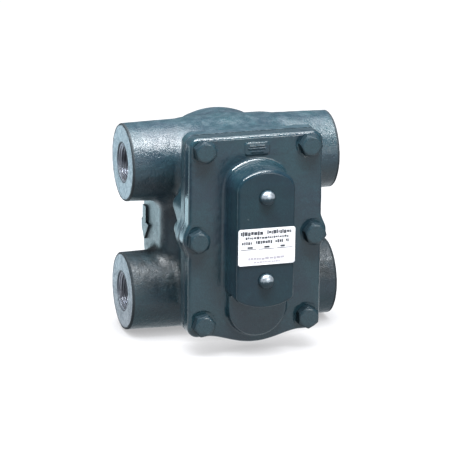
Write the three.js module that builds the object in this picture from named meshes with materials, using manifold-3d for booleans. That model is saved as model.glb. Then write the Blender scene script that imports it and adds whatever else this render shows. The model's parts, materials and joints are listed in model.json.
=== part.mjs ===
// Float and thermostatic steam trap, H pattern.
// Cast-iron body with two inlet ports above and two outlet ports below, closed by a
// bolted front cover that carries the float mechanism and the thermostatic air vent.
//
// Frame: millimetres, +Z up, +X to the right, -Y out of the cover. The pieces are drawn
// about the centre of the four ports, on the plane of the two port axes; the whole group
// is then lifted and moved back so that the origin is under the middle of the trap, at
// the height of its lowest point.
import * as THREE from 'three';
import { mergeVertices } from 'three/addons/utils/BufferGeometryUtils.js';
import { ConvexGeometry } from 'three/addons/geometries/ConvexGeometry.js';
import Module from 'manifold-3d';

const wasm = await Module();
wasm.setup();

// ---------------------------------------------------------------- driving dimensions
const GAP = 0.3;                 // assembly clearance between touching pieces
const OVER = 1;                  // overlap of joined solids, overrun of cutting tools

const FACE_HALF = 149 / 2;       // port face, from the centre
const PORT_Z = 92.5 / 2;         // port axis, above and below the centre
const BOSS_R = 27.0;             // port boss radius at its face
const BOSS_ROOT_R = 28.6;        // port boss radius where it reaches the chamber
const BOSS_EDGE = 0.8;           // chamfer round the port face
const THREAD_R = 12.6;           // 3/4 inch female pipe thread, crest radius at the mouth
const THREAD_END_R = 11.9;       // the same at the end of the taper
const THREAD_LEN = 21.0;
const MOUTH_R = 13.6;            // countersink at the mouth
const MOUTH_LEN = 1.4;
const PASSAGE_R = 11.4;          // cast passage behind the thread

const CHAMBER_HALF = 49.5;       // float chamber, half width
const CHAMBER_TOP = 74.2;
const CHAMBER_BOTTOM = -44.0;
const CHAMBER_FRONT = -15.0;
const CHAMBER_BACK = 41.5;
const WALL = 7.0;
const CAVITY_FLOOR = -28;

const NECK_HALF = 38.0;
const GASKET_THICK = 1.2;
const FLANGE_REAR = -48.5;
const FLANGE_FRONT = -57.1;      // machined joint face
const COVER_BACK = FLANGE_FRONT - GASKET_THICK - 2 * GAP;  // machined face of the cover
const COVER_FRONT = -69.1;
const COVER_HALF = 47.2;
const COVER_TOP = 77.8;
const COVER_BOTTOM = -62.1;
const COVER_CORNER = 7.0;
const COVER_EDGE = 1.6;          // bevel of the cover's front edge

const BOLT_X = 37.2;             // corner bolts
const BOLT_TOP_Z = 69.2;
const BOLT_LOW_Z = -52.4;
const BOLT_MID_X = 41.2;         // middle bolts stand further out, in rounded ears
const BOLT_MID_Z = 7.1;
const EAR_R = 9.8;
const BOLT_R = 4.4;              // 3/8 inch bolt
const BOLT_HOLE_R = 4.8;
const HEAD_FLATS = 14.2;         // across flats
const HEAD_H = 6.0;
const BOLT_LEN = 29.0;

const BULGE_R = 34.0;            // round bulge at the bottom of the joint
const BULGE_Z = -34.0;

const CHANNEL_FRONT = -92.3;     // front of the raised discharge channel
const CHANNEL_HALF = 20.8;       // half width at the cover
const CHANNEL_HALF_FRONT = 20.3;
const CHANNEL_TOP = 59.2;
const CHANNEL_ARC = 27.6;        // radius of its arched top
const CHANNEL_STEP_Z = -36.2;    // lowest point of the curved step
const CHANNEL_STEP_R = 38.0;
const CHANNEL_WALL = 4.2;
const PAD_FRONT = -76.3;         // front of the half-moon pad below the step
const PAD_CENTRE_Z = -41.0;
const WEB_FRONT = -65.2;         // front of the web between channel and chamber

const OUTLET_Z = -50.0;          // return hole through the joint
const OUTLET_R = 7.2;
const OPEN_HALF = 31.5;          // chamber opening in the joint face
const OPEN_TOP = 60.0;
const OPEN_BOTTOM = -35.0;
const OPEN_CORNER = 9;

const VALVE_Z = -17.7;           // main valve axis
const VENT_Z = 40.3;             // air vent axis
const PLUG_R = 5.4;              // domed plug in the channel wall
const PLUG_HOLE_R = 3.2;
const DOME_H = 4.2;              // height of the plugs' domes

const PIVOT_Y = -43.5;           // float lever pivot
const PIVOT_Z = VALVE_Z + 13.7;
const PIVOT_HOLE_R = 1.85;
const FLOAT_R = 27.0;
const FLOAT_Y = 3.4;
const FLOAT_Z = 0.6;
const SCREW_X = 12.5;            // pivot bracket screws
const SCREW_Z = 9.5;

const LABEL = { half: 20.0, top: 19.4, bottom: -6.0, thick: 0.5, corner: 1.8 };

const LIFT = PORT_Z + BOSS_ROOT_R;
const SET_BACK = (-(CHANNEL_FRONT - GAP - DOME_H) - CHAMBER_BACK) / 2;

// Cover bolts: name, x, z, turn of the head about its axis in radians.
const BOLTS = [
  ['cover_bolt_upper_left', -BOLT_X, BOLT_TOP_Z, 0.35],
  ['cover_bolt_upper_right', BOLT_X, BOLT_TOP_Z, 0.1],
  ['cover_bolt_middle_left', -BOLT_MID_X, BOLT_MID_Z, 0.62],
  ['cover_bolt_middle_right', BOLT_MID_X, BOLT_MID_Z, 0.2],
  ['cover_bolt_lower_left', -BOLT_X, BOLT_LOW_Z, 0.85],
  ['cover_bolt_lower_right', BOLT_X, BOLT_LOW_Z, 0.5],
];

// ---------------------------------------------------------------- materials
const material = (name, look) => new THREE.MeshStandardMaterial({ name, ...look });
const PAINTED_IRON = material('painted_iron',
  { color: 0x43555f, roughness: 0.55, metalness: 0.15 });
const COVER_IRON = material('cover_iron', { color: 0x41535c, roughness: 0.55, metalness: 0.15 });
const BOLT_STEEL = material('bolt_steel', { color: 0x445660, roughness: 0.5, metalness: 0.3 });
const GASKET = material('gasket', { color: 0x3a3d3f, roughness: 0.9, metalness: 0 });
const LABEL_WHITE = material('label_white', { color: 0xf2f2ee, roughness: 0.6, metalness: 0 });
const BRIGHT_STEEL = material('bright_steel',
  { color: 0xc9ced2, roughness: 0.25, metalness: 0.9 });
const STAINLESS = material('stainless', { color: 0xb4b8bb, roughness: 0.35, metalness: 0.9 });
const BRASS = material('brass', { color: 0xb6924e, roughness: 0.35, metalness: 0.9 });
const COPPER = material('copper', { color: 0xb36b43, roughness: 0.4, metalness: 0.9 });

// ---------------------------------------------------------------- solid helpers
// A closed geometry becomes a solid; its faces are turned to point out if they don't.
function solid(geometry) {
  geometry.deleteAttribute('normal');
  geometry.deleteAttribute('uv');
  const merged = mergeVertices(geometry, 1e-4);
  const { position } = merged.attributes;
  const corners = merged.index.array;
  const corner = (index) => new THREE.Vector3().fromBufferAttribute(position, index);
  const triangles = [];
  let volume = 0;
  for (let i = 0; i < corners.length; i += 3) {
    const [first, second, third] = corners.slice(i, i + 3);
    if (first === second || second === third || first === third) continue;
    triangles.push([first, second, third]);
    volume += corner(first).dot(corner(second).cross(corner(third)));
  }
  if (volume < 0) {
    for (const triangle of triangles) triangle.push(triangle.splice(1, 1)[0]);
  }
  return new wasm.Manifold(new wasm.Mesh({
    numProp: 3,
    vertProperties: Float32Array.from(position.array),
    triVerts: Uint32Array.from(triangles.flat()),
  }));
}
const join = (...parts) => parts.reduce((whole, part) => whole.add(part));
const cut = (blank, ...tools) => tools.reduce((rest, tool) => rest.subtract(tool), blank);

function toGeometry(manifold) {
  const mesh = manifold.getMesh();
  const geometry = new THREE.BufferGeometry();
  geometry.setAttribute('position',
    new THREE.BufferAttribute(Float32Array.from(mesh.vertProperties), 3));
  geometry.setIndex(new THREE.BufferAttribute(Uint32Array.from(mesh.triVerts), 1));
  geometry.computeVertexNormals();
  return geometry;
}

// Solid of a geometry drawn along Y, laid along 'x' or 'y'. The centre is where that
// axis passes: [y, z] for 'x', [x, z] for 'y'.
function along(axis, geometry, [across, z]) {
  if (axis === 'x') geometry.rotateZ(-Math.PI / 2).translate(0, across, z);
  else geometry.translate(across, 0, z);
  return solid(geometry);
}
function cone(axis, startR, endR, from, to, segments, centre = [0, 0]) {
  const geometry = new THREE.CylinderGeometry(endR, startR, to - from, segments);
  return along(axis, geometry.translate(0, (from + to) / 2, 0), centre);
}
const rod = (axis, radius, from, to, segments, centre) =>
  cone(axis, radius, radius, from, to, segments, centre);
// Profile of [radius, station] pairs turned about an axis; it starts and ends on the
// axis or closes on itself.
function turned(axis, profile, segments, centre = [0, 0]) {
  const points = profile.map(([radius, station]) => new THREE.Vector2(radius, station));
  return along(axis, new THREE.LatheGeometry(points, segments), centre);
}
// Tube of rectangular section.
const ring = (axis, inner, outer, from, to, segments, centre) => turned(axis,
  [[inner, from], [outer, from], [outer, to], [inner, to], [inner, from]], segments, centre);
function block([left, right], [front, back], [low, high]) {
  return solid(new THREE.BoxGeometry(right - left, back - front, high - low)
    .translate((left + right) / 2, (front + back) / 2, (low + high) / 2));
}
const sphere = (radius, around, down) =>
  solid(new THREE.SphereGeometry(radius, around, down).translate(0, FLOAT_Y, FLOAT_Z));
const shapeOf = (points) => new THREE.Shape(points.map((point) => new THREE.Vector2(...point)));
// Outline in X and Z, extruded in Y, with an optional bevel on both edges.
function plate(points, front, back, edge = 0) {
  return solid(new THREE.ExtrudeGeometry(shapeOf(points), {
    depth: back - front - 2 * edge,
    bevelEnabled: edge > 0,
    bevelThickness: edge,
    bevelSize: edge,
    bevelOffset: -edge,
    bevelSegments: 2,
  }).translate(0, 0, edge)
    .rotateX(Math.PI / 2)          // shape y -> +Z, depth -> -Y
    .translate(0, back, 0));
}
// Outline in Y and Z, extruded in X.
function sidePlate(points, left, right) {
  const options = { depth: right - left, bevelEnabled: false };
  return solid(new THREE.ExtrudeGeometry(shapeOf(points), options)
    .rotateX(Math.PI / 2)
    .rotateZ(Math.PI / 2)          // shape x -> Y, shape y -> Z, depth -> X
    .translate(left, 0, 0));
}
// The same side plate on the left and on the right.
const sidePair = (points, inner, outer) =>
  join(sidePlate(points, -outer, -inner), sidePlate(points, inner, outer));
// Convex hull of sections, each an [outline in X and Z, y] pair.
function hullOf(...sections) {
  return solid(new ConvexGeometry(sections.flatMap(([points, y]) =>
    points.map(([x, z]) => new THREE.Vector3(x, y, z)))));
}
// Hexagonal prism along Y.
function hexBar(cornerR, from, to, { z = 0, turn = 0 } = {}) {
  return solid(new THREE.CylinderGeometry(cornerR, cornerR, to - from, 6)
    .rotateY(turn)
    .translate(0, (from + to) / 2, z));
}
const hexCornerR = (acrossFlats) => acrossFlats / 2 / Math.cos(Math.PI / 6);

// ---------------------------------------------------------------- outlines
// Lists of points, angles in degrees.
function arc(centreX, centreZ, radius, start, end, steps) {
  const points = [];
  for (let i = 0; i <= steps; i++) {
    const angle = (start + (end - start) * i / steps) * Math.PI / 180;
    points.push([centreX + radius * Math.cos(angle), centreZ + radius * Math.sin(angle)]);
  }
  return points;
}
const circle = (x, z, radius, count) => arc(x, z, radius, 0, 360 - 360 / count, count - 1);
function roundRect([left, right], [low, high], radius, steps) {
  return [
    ...arc(right - radius, high - radius, radius, 0, 90, steps),
    ...arc(left + radius, high - radius, radius, 90, 180, steps),
    ...arc(left + radius, low + radius, radius, 180, 270, steps),
    ...arc(right - radius, low + radius, radius, 270, 360, steps),
  ];
}
// Arched top and rounded lower corners; the top is a half circle, or two quarter
// circles with a flat between them when topR is less than half the width.
function arch(half, top, bottom, lowR, topSteps, lowSteps, topR = half) {
  const topZ = top - topR;
  const crown = topR === half
    ? arc(0, topZ, half, 0, 180, topSteps)
    : [...arc(half - topR, topZ, topR, 0, 90, topSteps / 2),
      ...arc(topR - half, topZ, topR, 90, 180, topSteps / 2)];
  return [
    ...crown,
    ...arc(lowR - half, bottom + lowR, lowR, 180, 270, lowSteps),
    ...arc(half - lowR, bottom + lowR, lowR, 270, 360, lowSteps),
  ];
}
const openingOutline = (grow) => roundRect([-OPEN_HALF - grow, OPEN_HALF + grow],
  [OPEN_BOTTOM - grow, OPEN_TOP + grow], OPEN_CORNER, 4);

// Slab of the bolted joint: a rounded rectangle, two ears and a round bulge below.
function jointSlab(front, back, inset = 0, edge = 0) {
  const rectangle = roundRect([-COVER_HALF + inset, COVER_HALF - inset],
    [COVER_BOTTOM + inset, COVER_TOP - inset], COVER_CORNER, 4);
  const ears = [-1, 1].map((side) => circle(side * BOLT_MID_X, BOLT_MID_Z, EAR_R - inset, 20));
  const bulge = circle(0, BULGE_Z, BULGE_R - inset, 36);
  return join(...[rectangle, ...ears, bulge].map((outline) => plate(outline, front, back, edge)));
}
const boltHoles = (radius, front, back) =>
  BOLTS.map(([, x, z]) => rod('y', radius, front, back, 14, [x, z]));

// ---------------------------------------------------------------- body casting
// Chamber sections from the front shoulder to the rounded back:
// inset of sides and bottom, drop of the top, y.
const CHAMBER_STATIONS = [
  [9, 8, CHAMBER_FRONT], [3, 2.4, CHAMBER_FRONT + 3.5], [0, 0, CHAMBER_FRONT + 10],
  [0, 0, CHAMBER_BACK - 17], [0.6, 3.0, CHAMBER_BACK - 8.5], [3, 8, CHAMBER_BACK - 3],
  [8.5, 16, CHAMBER_BACK],
];
// Sections of the chamber's hollow: half width, top, y.
const CAVITY_STATIONS = [
  [34, 61, CHAMBER_FRONT + 3], [CHAMBER_HALF - WALL, 67, CHAMBER_FRONT + 12],
  [CHAMBER_HALF - WALL, 67, CHAMBER_BACK - 20], [36, 58, CHAMBER_BACK - WALL],
];
// Gusset and flow arrow outlines: y, z.
const GUSSET = [
  [FLANGE_REAR - OVER, 3], [FLANGE_REAR, 3], [-24.5, 22.2], [-24.5, 28.5],
  [FLANGE_REAR - OVER, 28.5],
];
const GUSSET_HALF = 46.2;
const ARROW = [
  [24, 6], [31, 6], [31, -5.5], [37.5, -5.5], [27.5, -17.5], [17.5, -5.5], [24, -5.5],
];
const ARROW_RAISE = 1.2;
const ARROW_ROOT = 5.5;          // depth of the arrow sunk in the side wall
const BOLT_HOLE_END = -39.5;

function portBoss(side, rootX, z) {
  return turned('x', [
    [0, rootX], [BOSS_ROOT_R, rootX], [BOSS_R, side * (FACE_HALF - BOSS_EDGE)],
    [BOSS_R - BOSS_EDGE, side * FACE_HALF], [0, side * FACE_HALF],
  ], 36, [0, z]);
}
// Countersink, tapered thread and passage of one port.
function portBore(side, z) {
  const threadEnd = FACE_HALF - THREAD_LEN;
  return turned('x', [
    [0, side * (FACE_HALF + OVER)], [MOUTH_R + 1.0, side * (FACE_HALF + OVER)],
    [THREAD_R, side * (FACE_HALF - MOUTH_LEN)], [THREAD_END_R, side * threadEnd],
    [PASSAGE_R, side * (threadEnd - 1)], [PASSAGE_R, side * 30], [0, side * 30],
  ], 24, [0, z]);
}
// Bolt lug behind the flange; the two middle ones are longer.
function boltLug([, x, z]) {
  const front = FLANGE_REAR - OVER;
  return z === BOLT_MID_Z
    ? cone('y', 7.6, 7.2, front, FLANGE_REAR + 17, 16, [x * 0.97, z - 1.0])
    : cone('y', 8.2, 7.0, front, FLANGE_REAR + 11, 16, [x * 0.985, z * 0.985]);
}
// Float chamber hollow: the chamber proper, the joint opening and the neck between them.
function bodyCavity() {
  const neckOutline = roundRect([-OPEN_HALF, OPEN_HALF], [CAVITY_FLOOR, OPEN_TOP],
    OPEN_CORNER, 3);
  return join(
    hullOf(...CAVITY_STATIONS.map(([half, top, y]) =>
      [arch(half, top, CAVITY_FLOOR, 12, 12, 2), y])),
    hullOf([openingOutline(0), -20], [openingOutline(0), FLANGE_FRONT - OVER]),
    hullOf([neckOutline, 6], [neckOutline, -21]));
}
function bodyCasting() {
  const bosses = [PORT_Z, -PORT_Z].map((z) => join(portBoss(1, 0, z), portBoss(-1, 0.4, z)));
  const chamber = hullOf(...CHAMBER_STATIONS.map(([inset, drop, y]) =>
    [arch(CHAMBER_HALF - inset, CHAMBER_TOP - drop, CHAMBER_BOTTOM + inset, 20, 18, 3), y]));
  const neck = hullOf([arch(NECK_HALF, 74.0, -60, 15, 12, 2, 24), 2],
    [arch(NECK_HALF, 69.5, -58, 12, 12, 2, 20), FLANGE_REAR - OVER]);
  const outer = join(
    ...bosses, chamber, neck,
    jointSlab(FLANGE_FRONT, FLANGE_REAR),
    sidePlate(GUSSET, -GUSSET_HALF, GUSSET_HALF),
    ...BOLTS.map(boltLug),
    // Raised flow arrow on each side wall, pointing from the inlets to the outlets.
    sidePair(ARROW, CHAMBER_HALF - ARROW_ROOT, CHAMBER_HALF + ARROW_RAISE));
  return cut(outer, bodyCavity(),
    ...[PORT_Z, -PORT_Z].flatMap((z) => [portBore(-1, z), portBore(1, z)]),
    rod('x', PASSAGE_R, -32, 32, 24, [0, -PORT_Z]),      // passage between the lower ports
    rod('y', OUTLET_R, FLANGE_FRONT - OVER, -6, 20, [0, OUTLET_Z]),
    ...boltHoles(BOLT_HOLE_R, FLANGE_FRONT - OVER, BOLT_HOLE_END));
}

// ---------------------------------------------------------------- cover casting
const DUCT_INSET = CHANNEL_WALL + 0.6;
const DUCT_FRONT_R = 15.4;       // lower end of the duct at its front
const PAD_DUCT_R = 14.5;         // round hollow behind the half-moon pad
const PAD_DUCT_FRONT = PAD_FRONT + 3.6;
const SEAT_HOLE_R = 7.4;
const VENT_HOLE_R = 6.1;
const SCREW_HOLE = { radius: 2.3, depth: 4.6 };

// Arched outline of the discharge channel, closed below by a half circle.
function channelOutline(half, inset, lowCentre, steps, lowR = half - inset) {
  const topR = CHANNEL_ARC - inset;
  const start = Math.acos((half - inset) / topR) * 180 / Math.PI;
  return [
    ...arc(0, CHANNEL_TOP - CHANNEL_ARC, topR, start, 180 - start, steps),
    ...arc(0, lowCentre, lowR, 180, 360, steps),
  ];
}
// Full-height channel with a little draft, ended below by a curved step, over the pad.
function dischargeChannel() {
  const outline = (half, inset) => channelOutline(half, inset, PAD_CENTRE_Z, 14);
  const base = [outline(CHANNEL_HALF, 0), COVER_FRONT + OVER];
  const full = hullOf(base, [outline(CHANNEL_HALF_FRONT, 0.4), CHANNEL_FRONT + 1.0],
    [outline(CHANNEL_HALF_FRONT, 1.4), CHANNEL_FRONT]);
  const keepY = [CHANNEL_FRONT - 5, COVER_FRONT + 5];
  const aboveStep = join(
    rod('y', CHANNEL_STEP_R, ...keepY, 64, [0, CHANNEL_STEP_Z + CHANNEL_STEP_R]),
    block([-40, 40], keepY, [0, 90]));
  const halfMoonPad = hullOf(base, [outline(CHANNEL_HALF, 0.3), PAD_FRONT + 1.2],
    [outline(CHANNEL_HALF, 1.4), PAD_FRONT]);
  return join(full.intersect(aboveStep), halfMoonPad);
}
// Hollow of the channel and of the pad below it.
function dischargeDuct() {
  const padOutline = circle(0, PAD_CENTRE_Z - 2, PAD_DUCT_R, 24);
  return join(
    hullOf([channelOutline(CHANNEL_HALF, DUCT_INSET, -26, 8), WEB_FRONT],
      [channelOutline(CHANNEL_HALF_FRONT, DUCT_INSET, -16, 8, DUCT_FRONT_R),
        CHANNEL_FRONT + CHANNEL_WALL]),
    hullOf([padOutline, WEB_FRONT], [padOutline, PAD_DUCT_FRONT]),
    block([-DUCT_FRONT_R, DUCT_FRONT_R], [PAD_DUCT_FRONT, WEB_FRONT], [PAD_CENTRE_Z, -20]));
}
function coverCasting() {
  // Square edge at the joint, bevelled edge in front.
  const slab = join(
    jointSlab(COVER_FRONT + COVER_EDGE, COVER_BACK),
    jointSlab(COVER_FRONT, COVER_BACK - OVER, 0, COVER_EDGE));
  // Blank raised size pad above the channel.
  const sizePad = plate(roundRect([-8.5, 8.5], [64.4, 72.6], 1.5, 2),
    COVER_FRONT - 0.8, COVER_FRONT + OVER);
  const webHole = (radius, z, segments) =>
    rod('y', radius, WEB_FRONT - OVER, COVER_BACK + OVER, segments, [0, z]);
  return cut(join(slab, dischargeChannel(), sizePad), dischargeDuct(),
    webHole(OUTLET_R, OUTLET_Z, 28),
    webHole(SEAT_HOLE_R, VALVE_Z, 28),
    webHole(VENT_HOLE_R, VENT_Z, 24),
    ...[VALVE_Z, VENT_Z].map((z) => rod('y', PLUG_HOLE_R,
      CHANNEL_FRONT - OVER, CHANNEL_FRONT + CHANNEL_WALL + OVER, 20, [0, z])),
    ...boltHoles(BOLT_HOLE_R, COVER_FRONT - 2, COVER_BACK + OVER),
    ...[-1, 1].map((side) => rod('y', SCREW_HOLE.radius, COVER_BACK - SCREW_HOLE.depth,
      COVER_BACK + OVER, 14, [side * SCREW_X, SCREW_Z])));
}

// ---------------------------------------------------------------- joint and fasteners
function coverGasket() {
  const front = COVER_BACK + GAP;
  const back = FLANGE_FRONT - GAP;
  const through = [front - OVER, back + OVER];
  return cut(jointSlab(front, back, 0.4),
    plate(openingOutline(0.5), ...through),
    rod('y', OUTLET_R + 0.4, ...through, 24, [0, OUTLET_Z]),
    ...boltHoles(BOLT_HOLE_R + 0.3, ...through));
}
// Hexagon bolt, its head's seating face at y = 0 and its shank along +Y.
function coverBolt() {
  const cornerR = hexCornerR(HEAD_FLATS);
  const chamfer = turned('y', [
    [0, -HEAD_H], [HEAD_FLATS / 2 - 0.4, -HEAD_H], [cornerR + 0.2, -HEAD_H + 1.5],
    [cornerR + 0.2, 0], [0, 0],
  ], 18);
  const shank = turned('y', [
    [0, -0.5], [BOLT_R, -0.5], [BOLT_R, BOLT_LEN - 1], [BOLT_R - 1, BOLT_LEN], [0, BOLT_LEN],
  ], 14);
  return join(hexBar(cornerR, -HEAD_H, 0).intersect(chamfer), shank);
}
function labelPlate() {
  const back = CHANNEL_FRONT - GAP;
  return plate(roundRect([-LABEL.half, LABEL.half], [LABEL.bottom, LABEL.top],
    LABEL.corner, 3), back - LABEL.thick, back);
}
// Domed plug driven into the channel wall; head underside at y = 0, pointing to -Y.
function domedPlug() {
  return turned('y', [
    [0, -DOME_H], [1.9, -3.95], [3.5, -3.15], [4.7, -1.9], [PLUG_R, -0.4], [PLUG_R, 0],
    [PLUG_HOLE_R - GAP, 0], [PLUG_HOLE_R - GAP, 4.2], [PLUG_HOLE_R - 0.8, 5.0], [0, 5.0],
  ], 20);
}

// ---------------------------------------------------------------- main valve
// Local frame: y = 0 is the cover's inner face, +Y into the chamber, z = 0 the valve axis.
const PIN_LOCAL_Y = PIVOT_Y - COVER_BACK;      // link pin station, under the pivot
const SEAT_FLATS = 19;
const SEAT_GASKET_BACK = 1.4;
// Profiles: radius, y.
const SEAT_NOSE = [[0, 6.0], [6.4, 6.0], [5.2, 8.2], [0, 8.2]];
const SEAT_BORE = [
  [0, -6.5], [5.0, -6.5], [5.0, 1.0], [2.9, 3.4], [2.9, 6.6], [4.6, 8.9], [0, 8.9],
];
const VALVE_CONE = [
  [0, 6.0], [1.2, 6.1], [4.1, 9.0], [4.1, 10.4], [3.0, 11.2], [3.0, 13.0], [0, 13.0],
];

function mainSeat() {
  const threaded = rod('y', 7.0, -5.8, SEAT_GASKET_BACK, 20);
  const neck = rod('y', 6.8, 1.0, 2.2, 20);
  const hexagon = hexBar(hexCornerR(SEAT_FLATS), SEAT_GASKET_BACK + GAP, 6.2,
    { turn: Math.PI / 6 });
  return cut(join(threaded, neck, hexagon, turned('y', SEAT_NOSE, 20)),
    turned('y', SEAT_BORE, 20));
}
const seatGasket = () => ring('y', 7.4, 10.2, GAP, SEAT_GASKET_BACK, 24);
// A cone facing the seat and a tang for the link pin.
function mainValveHead() {
  const tang = block([-4.3, 4.3], [12.0, PIN_LOCAL_Y + 3.4], [-3.3, 3.3]);
  return cut(join(turned('y', VALVE_CONE, 18), tang),
    rod('x', 1.65, -6, 6, 12, [PIN_LOCAL_Y, 0]));
}
// Pin with a head at each end.
function linkPin() {
  const length = (radius, from, to) => rod('x', radius, from, to, 12, [PIN_LOCAL_Y, 0]);
  return join(length(1.3, -8.2, 8.2), length(2.4, -9.0, -7.8), length(2.4, 7.8, 9.0));
}

// ---------------------------------------------------------------- float and lever
const FLOAT_FACE_Y = FLOAT_Y - FLOAT_R;        // front of the ball
const CROSS_FRONT = FLOAT_FACE_Y - 5.6;        // lever's cross plate
const CROSS_BACK = FLOAT_FACE_Y - 3.4;
const CROSS_LOW = FLOAT_Z - 6.2;
const CROSS_HIGH = FLOAT_Z + 6.2;
const CHEEK = { inner: 5.0, outer: 7.0 };
const SLOT = { half: 1.9, drop: 0.8 };         // link pin slot, round at both ends
const BALL_WALL = 1.2;
const NUT_THICK = 3.7;

// Two cheeks joined by a cross plate that carries the float stud.
function floatLever() {
  const outline = [
    ...arc(PIVOT_Y, PIVOT_Z, 5.2, 80, 170, 5),
    [PIVOT_Y - 4.6, VALVE_Z],
    ...arc(PIVOT_Y, VALVE_Z - 1.2, 4.6, 190, 350, 6),
    [PIVOT_Y + 4.6, PIVOT_Z - 7.0],
    [CROSS_FRONT, CROSS_LOW], [CROSS_BACK, CROSS_LOW],
    [CROSS_BACK, CROSS_HIGH], [CROSS_FRONT, CROSS_HIGH],
  ];
  const through = [-CHEEK.outer - OVER, CHEEK.outer + OVER];
  const slotLow = VALVE_Z - SLOT.drop;
  const slot = join(
    rod('x', SLOT.half, ...through, 14, [PIVOT_Y, VALVE_Z]),
    rod('x', SLOT.half, ...through, 14, [PIVOT_Y, slotLow]),
    block(through, [PIVOT_Y - SLOT.half, PIVOT_Y + SLOT.half], [slotLow, VALVE_Z]));
  const cheeks = cut(sidePair(outline, CHEEK.inner, CHEEK.outer),
    rod('x', PIVOT_HOLE_R, ...through, 18, [PIVOT_Y, PIVOT_Z]), slot);
  const cross = cut(
    block([-CHEEK.outer, CHEEK.outer], [CROSS_FRONT, CROSS_BACK], [CROSS_LOW, CROSS_HIGH]),
    rod('y', 2.9, FLOAT_FACE_Y - 8, FLOAT_FACE_Y, 18, [0, FLOAT_Z]));
  return join(cheeks, cross);
}
// Hollow ball with a seam round its middle, a boss and a stud, pierced along the stud.
function floatBall() {
  const centre = [0, FLOAT_Z];
  const seam = turned('y', [
    [FLOAT_R - 0.6, FLOAT_Y - 1.2], [FLOAT_R + 0.35, FLOAT_Y - 0.8],
    [FLOAT_R + 0.35, FLOAT_Y + 0.8], [FLOAT_R - 0.6, FLOAT_Y + 1.2],
    [FLOAT_R - 0.6, FLOAT_Y - 1.2],
  ], 24, centre);
  const boss = rod('y', 4.6, CROSS_BACK + GAP, FLOAT_FACE_Y + 2, 20, centre);
  const stud = rod('y', 2.5, FLOAT_FACE_Y - 11, FLOAT_FACE_Y - 3, 18, centre);
  return cut(join(sphere(FLOAT_R, 24, 14), seam, boss, stud),
    sphere(FLOAT_R - BALL_WALL, 16, 9),
    rod('y', 0.8, FLOAT_FACE_Y - 12, FLOAT_FACE_Y + 3, 10, centre));
}
function floatNut() {
  const back = CROSS_FRONT - GAP;
  const front = back - NUT_THICK;
  return cut(hexBar(4.6, front, back, { z: FLOAT_Z }),
    rod('y', 2.85, front - OVER, back + OVER, 18, [0, FLOAT_Z]));
}

// ---------------------------------------------------------------- pivot bracket
const BRACKET_FRONT = COVER_BACK + GAP;
const BRACKET_BACK = BRACKET_FRONT + 2.2;
const BRACKET_LOW = PIVOT_Z - 1.6;
const BRACKET_EAR = { inner: 8.2, outer: 10.2 };
const GROOVE = { inner: 1.0, outer: 3, from: 11.0, to: 12.0 };   // clip groove in the pin

// Base plate screwed to the cover, with two ears that hold the pivot pin.
function pivotBracket() {
  const base = plate(roundRect([-17.5, 17.5], [BRACKET_LOW, PIVOT_Z + 18.5], 2.5, 2),
    BRACKET_FRONT, BRACKET_BACK);
  const rootY = BRACKET_FRONT + 0.2;
  const earOutline = [
    [rootY, BRACKET_LOW], [PIVOT_Y - 4, PIVOT_Z - 4.4],
    ...arc(PIVOT_Y, PIVOT_Z, 4.8, 250, 400, 6), [rootY, PIVOT_Z + 8],
  ];
  const ears = cut(sidePair(earOutline, BRACKET_EAR.inner, BRACKET_EAR.outer),
    rod('x', PIVOT_HOLE_R, -BRACKET_EAR.outer - OVER, BRACKET_EAR.outer + OVER, 18,
      [PIVOT_Y, PIVOT_Z]));
  return cut(join(base, ears), ...[-1, 1].map((side) =>
    rod('y', 2.5, BRACKET_FRONT - OVER, BRACKET_BACK + OVER, 14, [side * SCREW_X, SCREW_Z])));
}
// Slotted screw: seating face at y = 0, shank towards -Y (into the cover).
function bracketScrew() {
  const head = turned('y', [[0, 0], [3.7, 0], [3.7, 2.2], [3.2, 2.8], [0, 2.8]], 20);
  const slot = block([-5, 5], [1.7, 4], [-0.55, 0.55]);
  return join(cut(head, slot), rod('y', 2.0, -6.2, 0.5, 14));
}
// Pin with its head on the left and a clip groove on the right.
function pivotPin() {
  const centre = [PIVOT_Y, PIVOT_Z];
  return cut(
    join(rod('x', 1.5, -11.2, 13.4, 18, centre), rod('x', 2.9, -12.4, -10.6, 18, centre)),
    ring('x', GROOVE.inner, GROOVE.outer, GROOVE.from, GROOVE.to, 18, centre));
}
// Retaining clip in the pin's groove, open below.
function pivotClip() {
  return cut(ring('x', 1.3, 3.6, 11.25, 11.75, 20, [PIVOT_Y, PIVOT_Z]),
    block([10, 13], [PIVOT_Y - 0.9, PIVOT_Y + 0.9], [PIVOT_Z - 5, PIVOT_Z]));
}

// ---------------------------------------------------------------- thermostatic air vent
// Local frame: y = 0 is the cover's inner face, z = 0 the vent axis.
const VENT_SEAT_FLATS = 14.8;
const CAGE_R = 19.0;
const CAGE_BORE_R = 17.4;
const CAGE_WINDOW = { half: 9.5, from: 3.4, to: 13.0 };
// Profiles: radius, y.
const VENT_NOSE = [[0, 6.0], [5.0, 6.0], [4.2, 7.6], [0, 7.6]];
const VENT_BORE = [[0, -6.5], [3.8, -6.5], [3.8, 1.5], [2.2, 3.0], [2.2, 8.4], [0, 8.4]];
const CAPSULE = [                // two stamped shells welded at the rim
  [0, 15.2], [5.0, 15.2], [6.4, 14.9], [8.6, 14.9], [10.2, 15.8], [12.0, 15.8],
  [13.2, 16.2], [16.6, 16.2], [16.6, 17.2], [13.4, 17.2], [12.0, 19.8], [9.6, 20.8],
  [7.6, 20.0], [5.0, 20.0], [3.4, 21.2], [0, 21.2],
];
const VENT_VALVE = [
  [0, 9.6], [3.0, 9.6], [3.4, 10.0], [3.4, 11.6], [2.2, 12.2], [2.2, 13.9],
  [4.6, 14.2], [4.6, 14.8], [0, 14.8],
];

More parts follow.
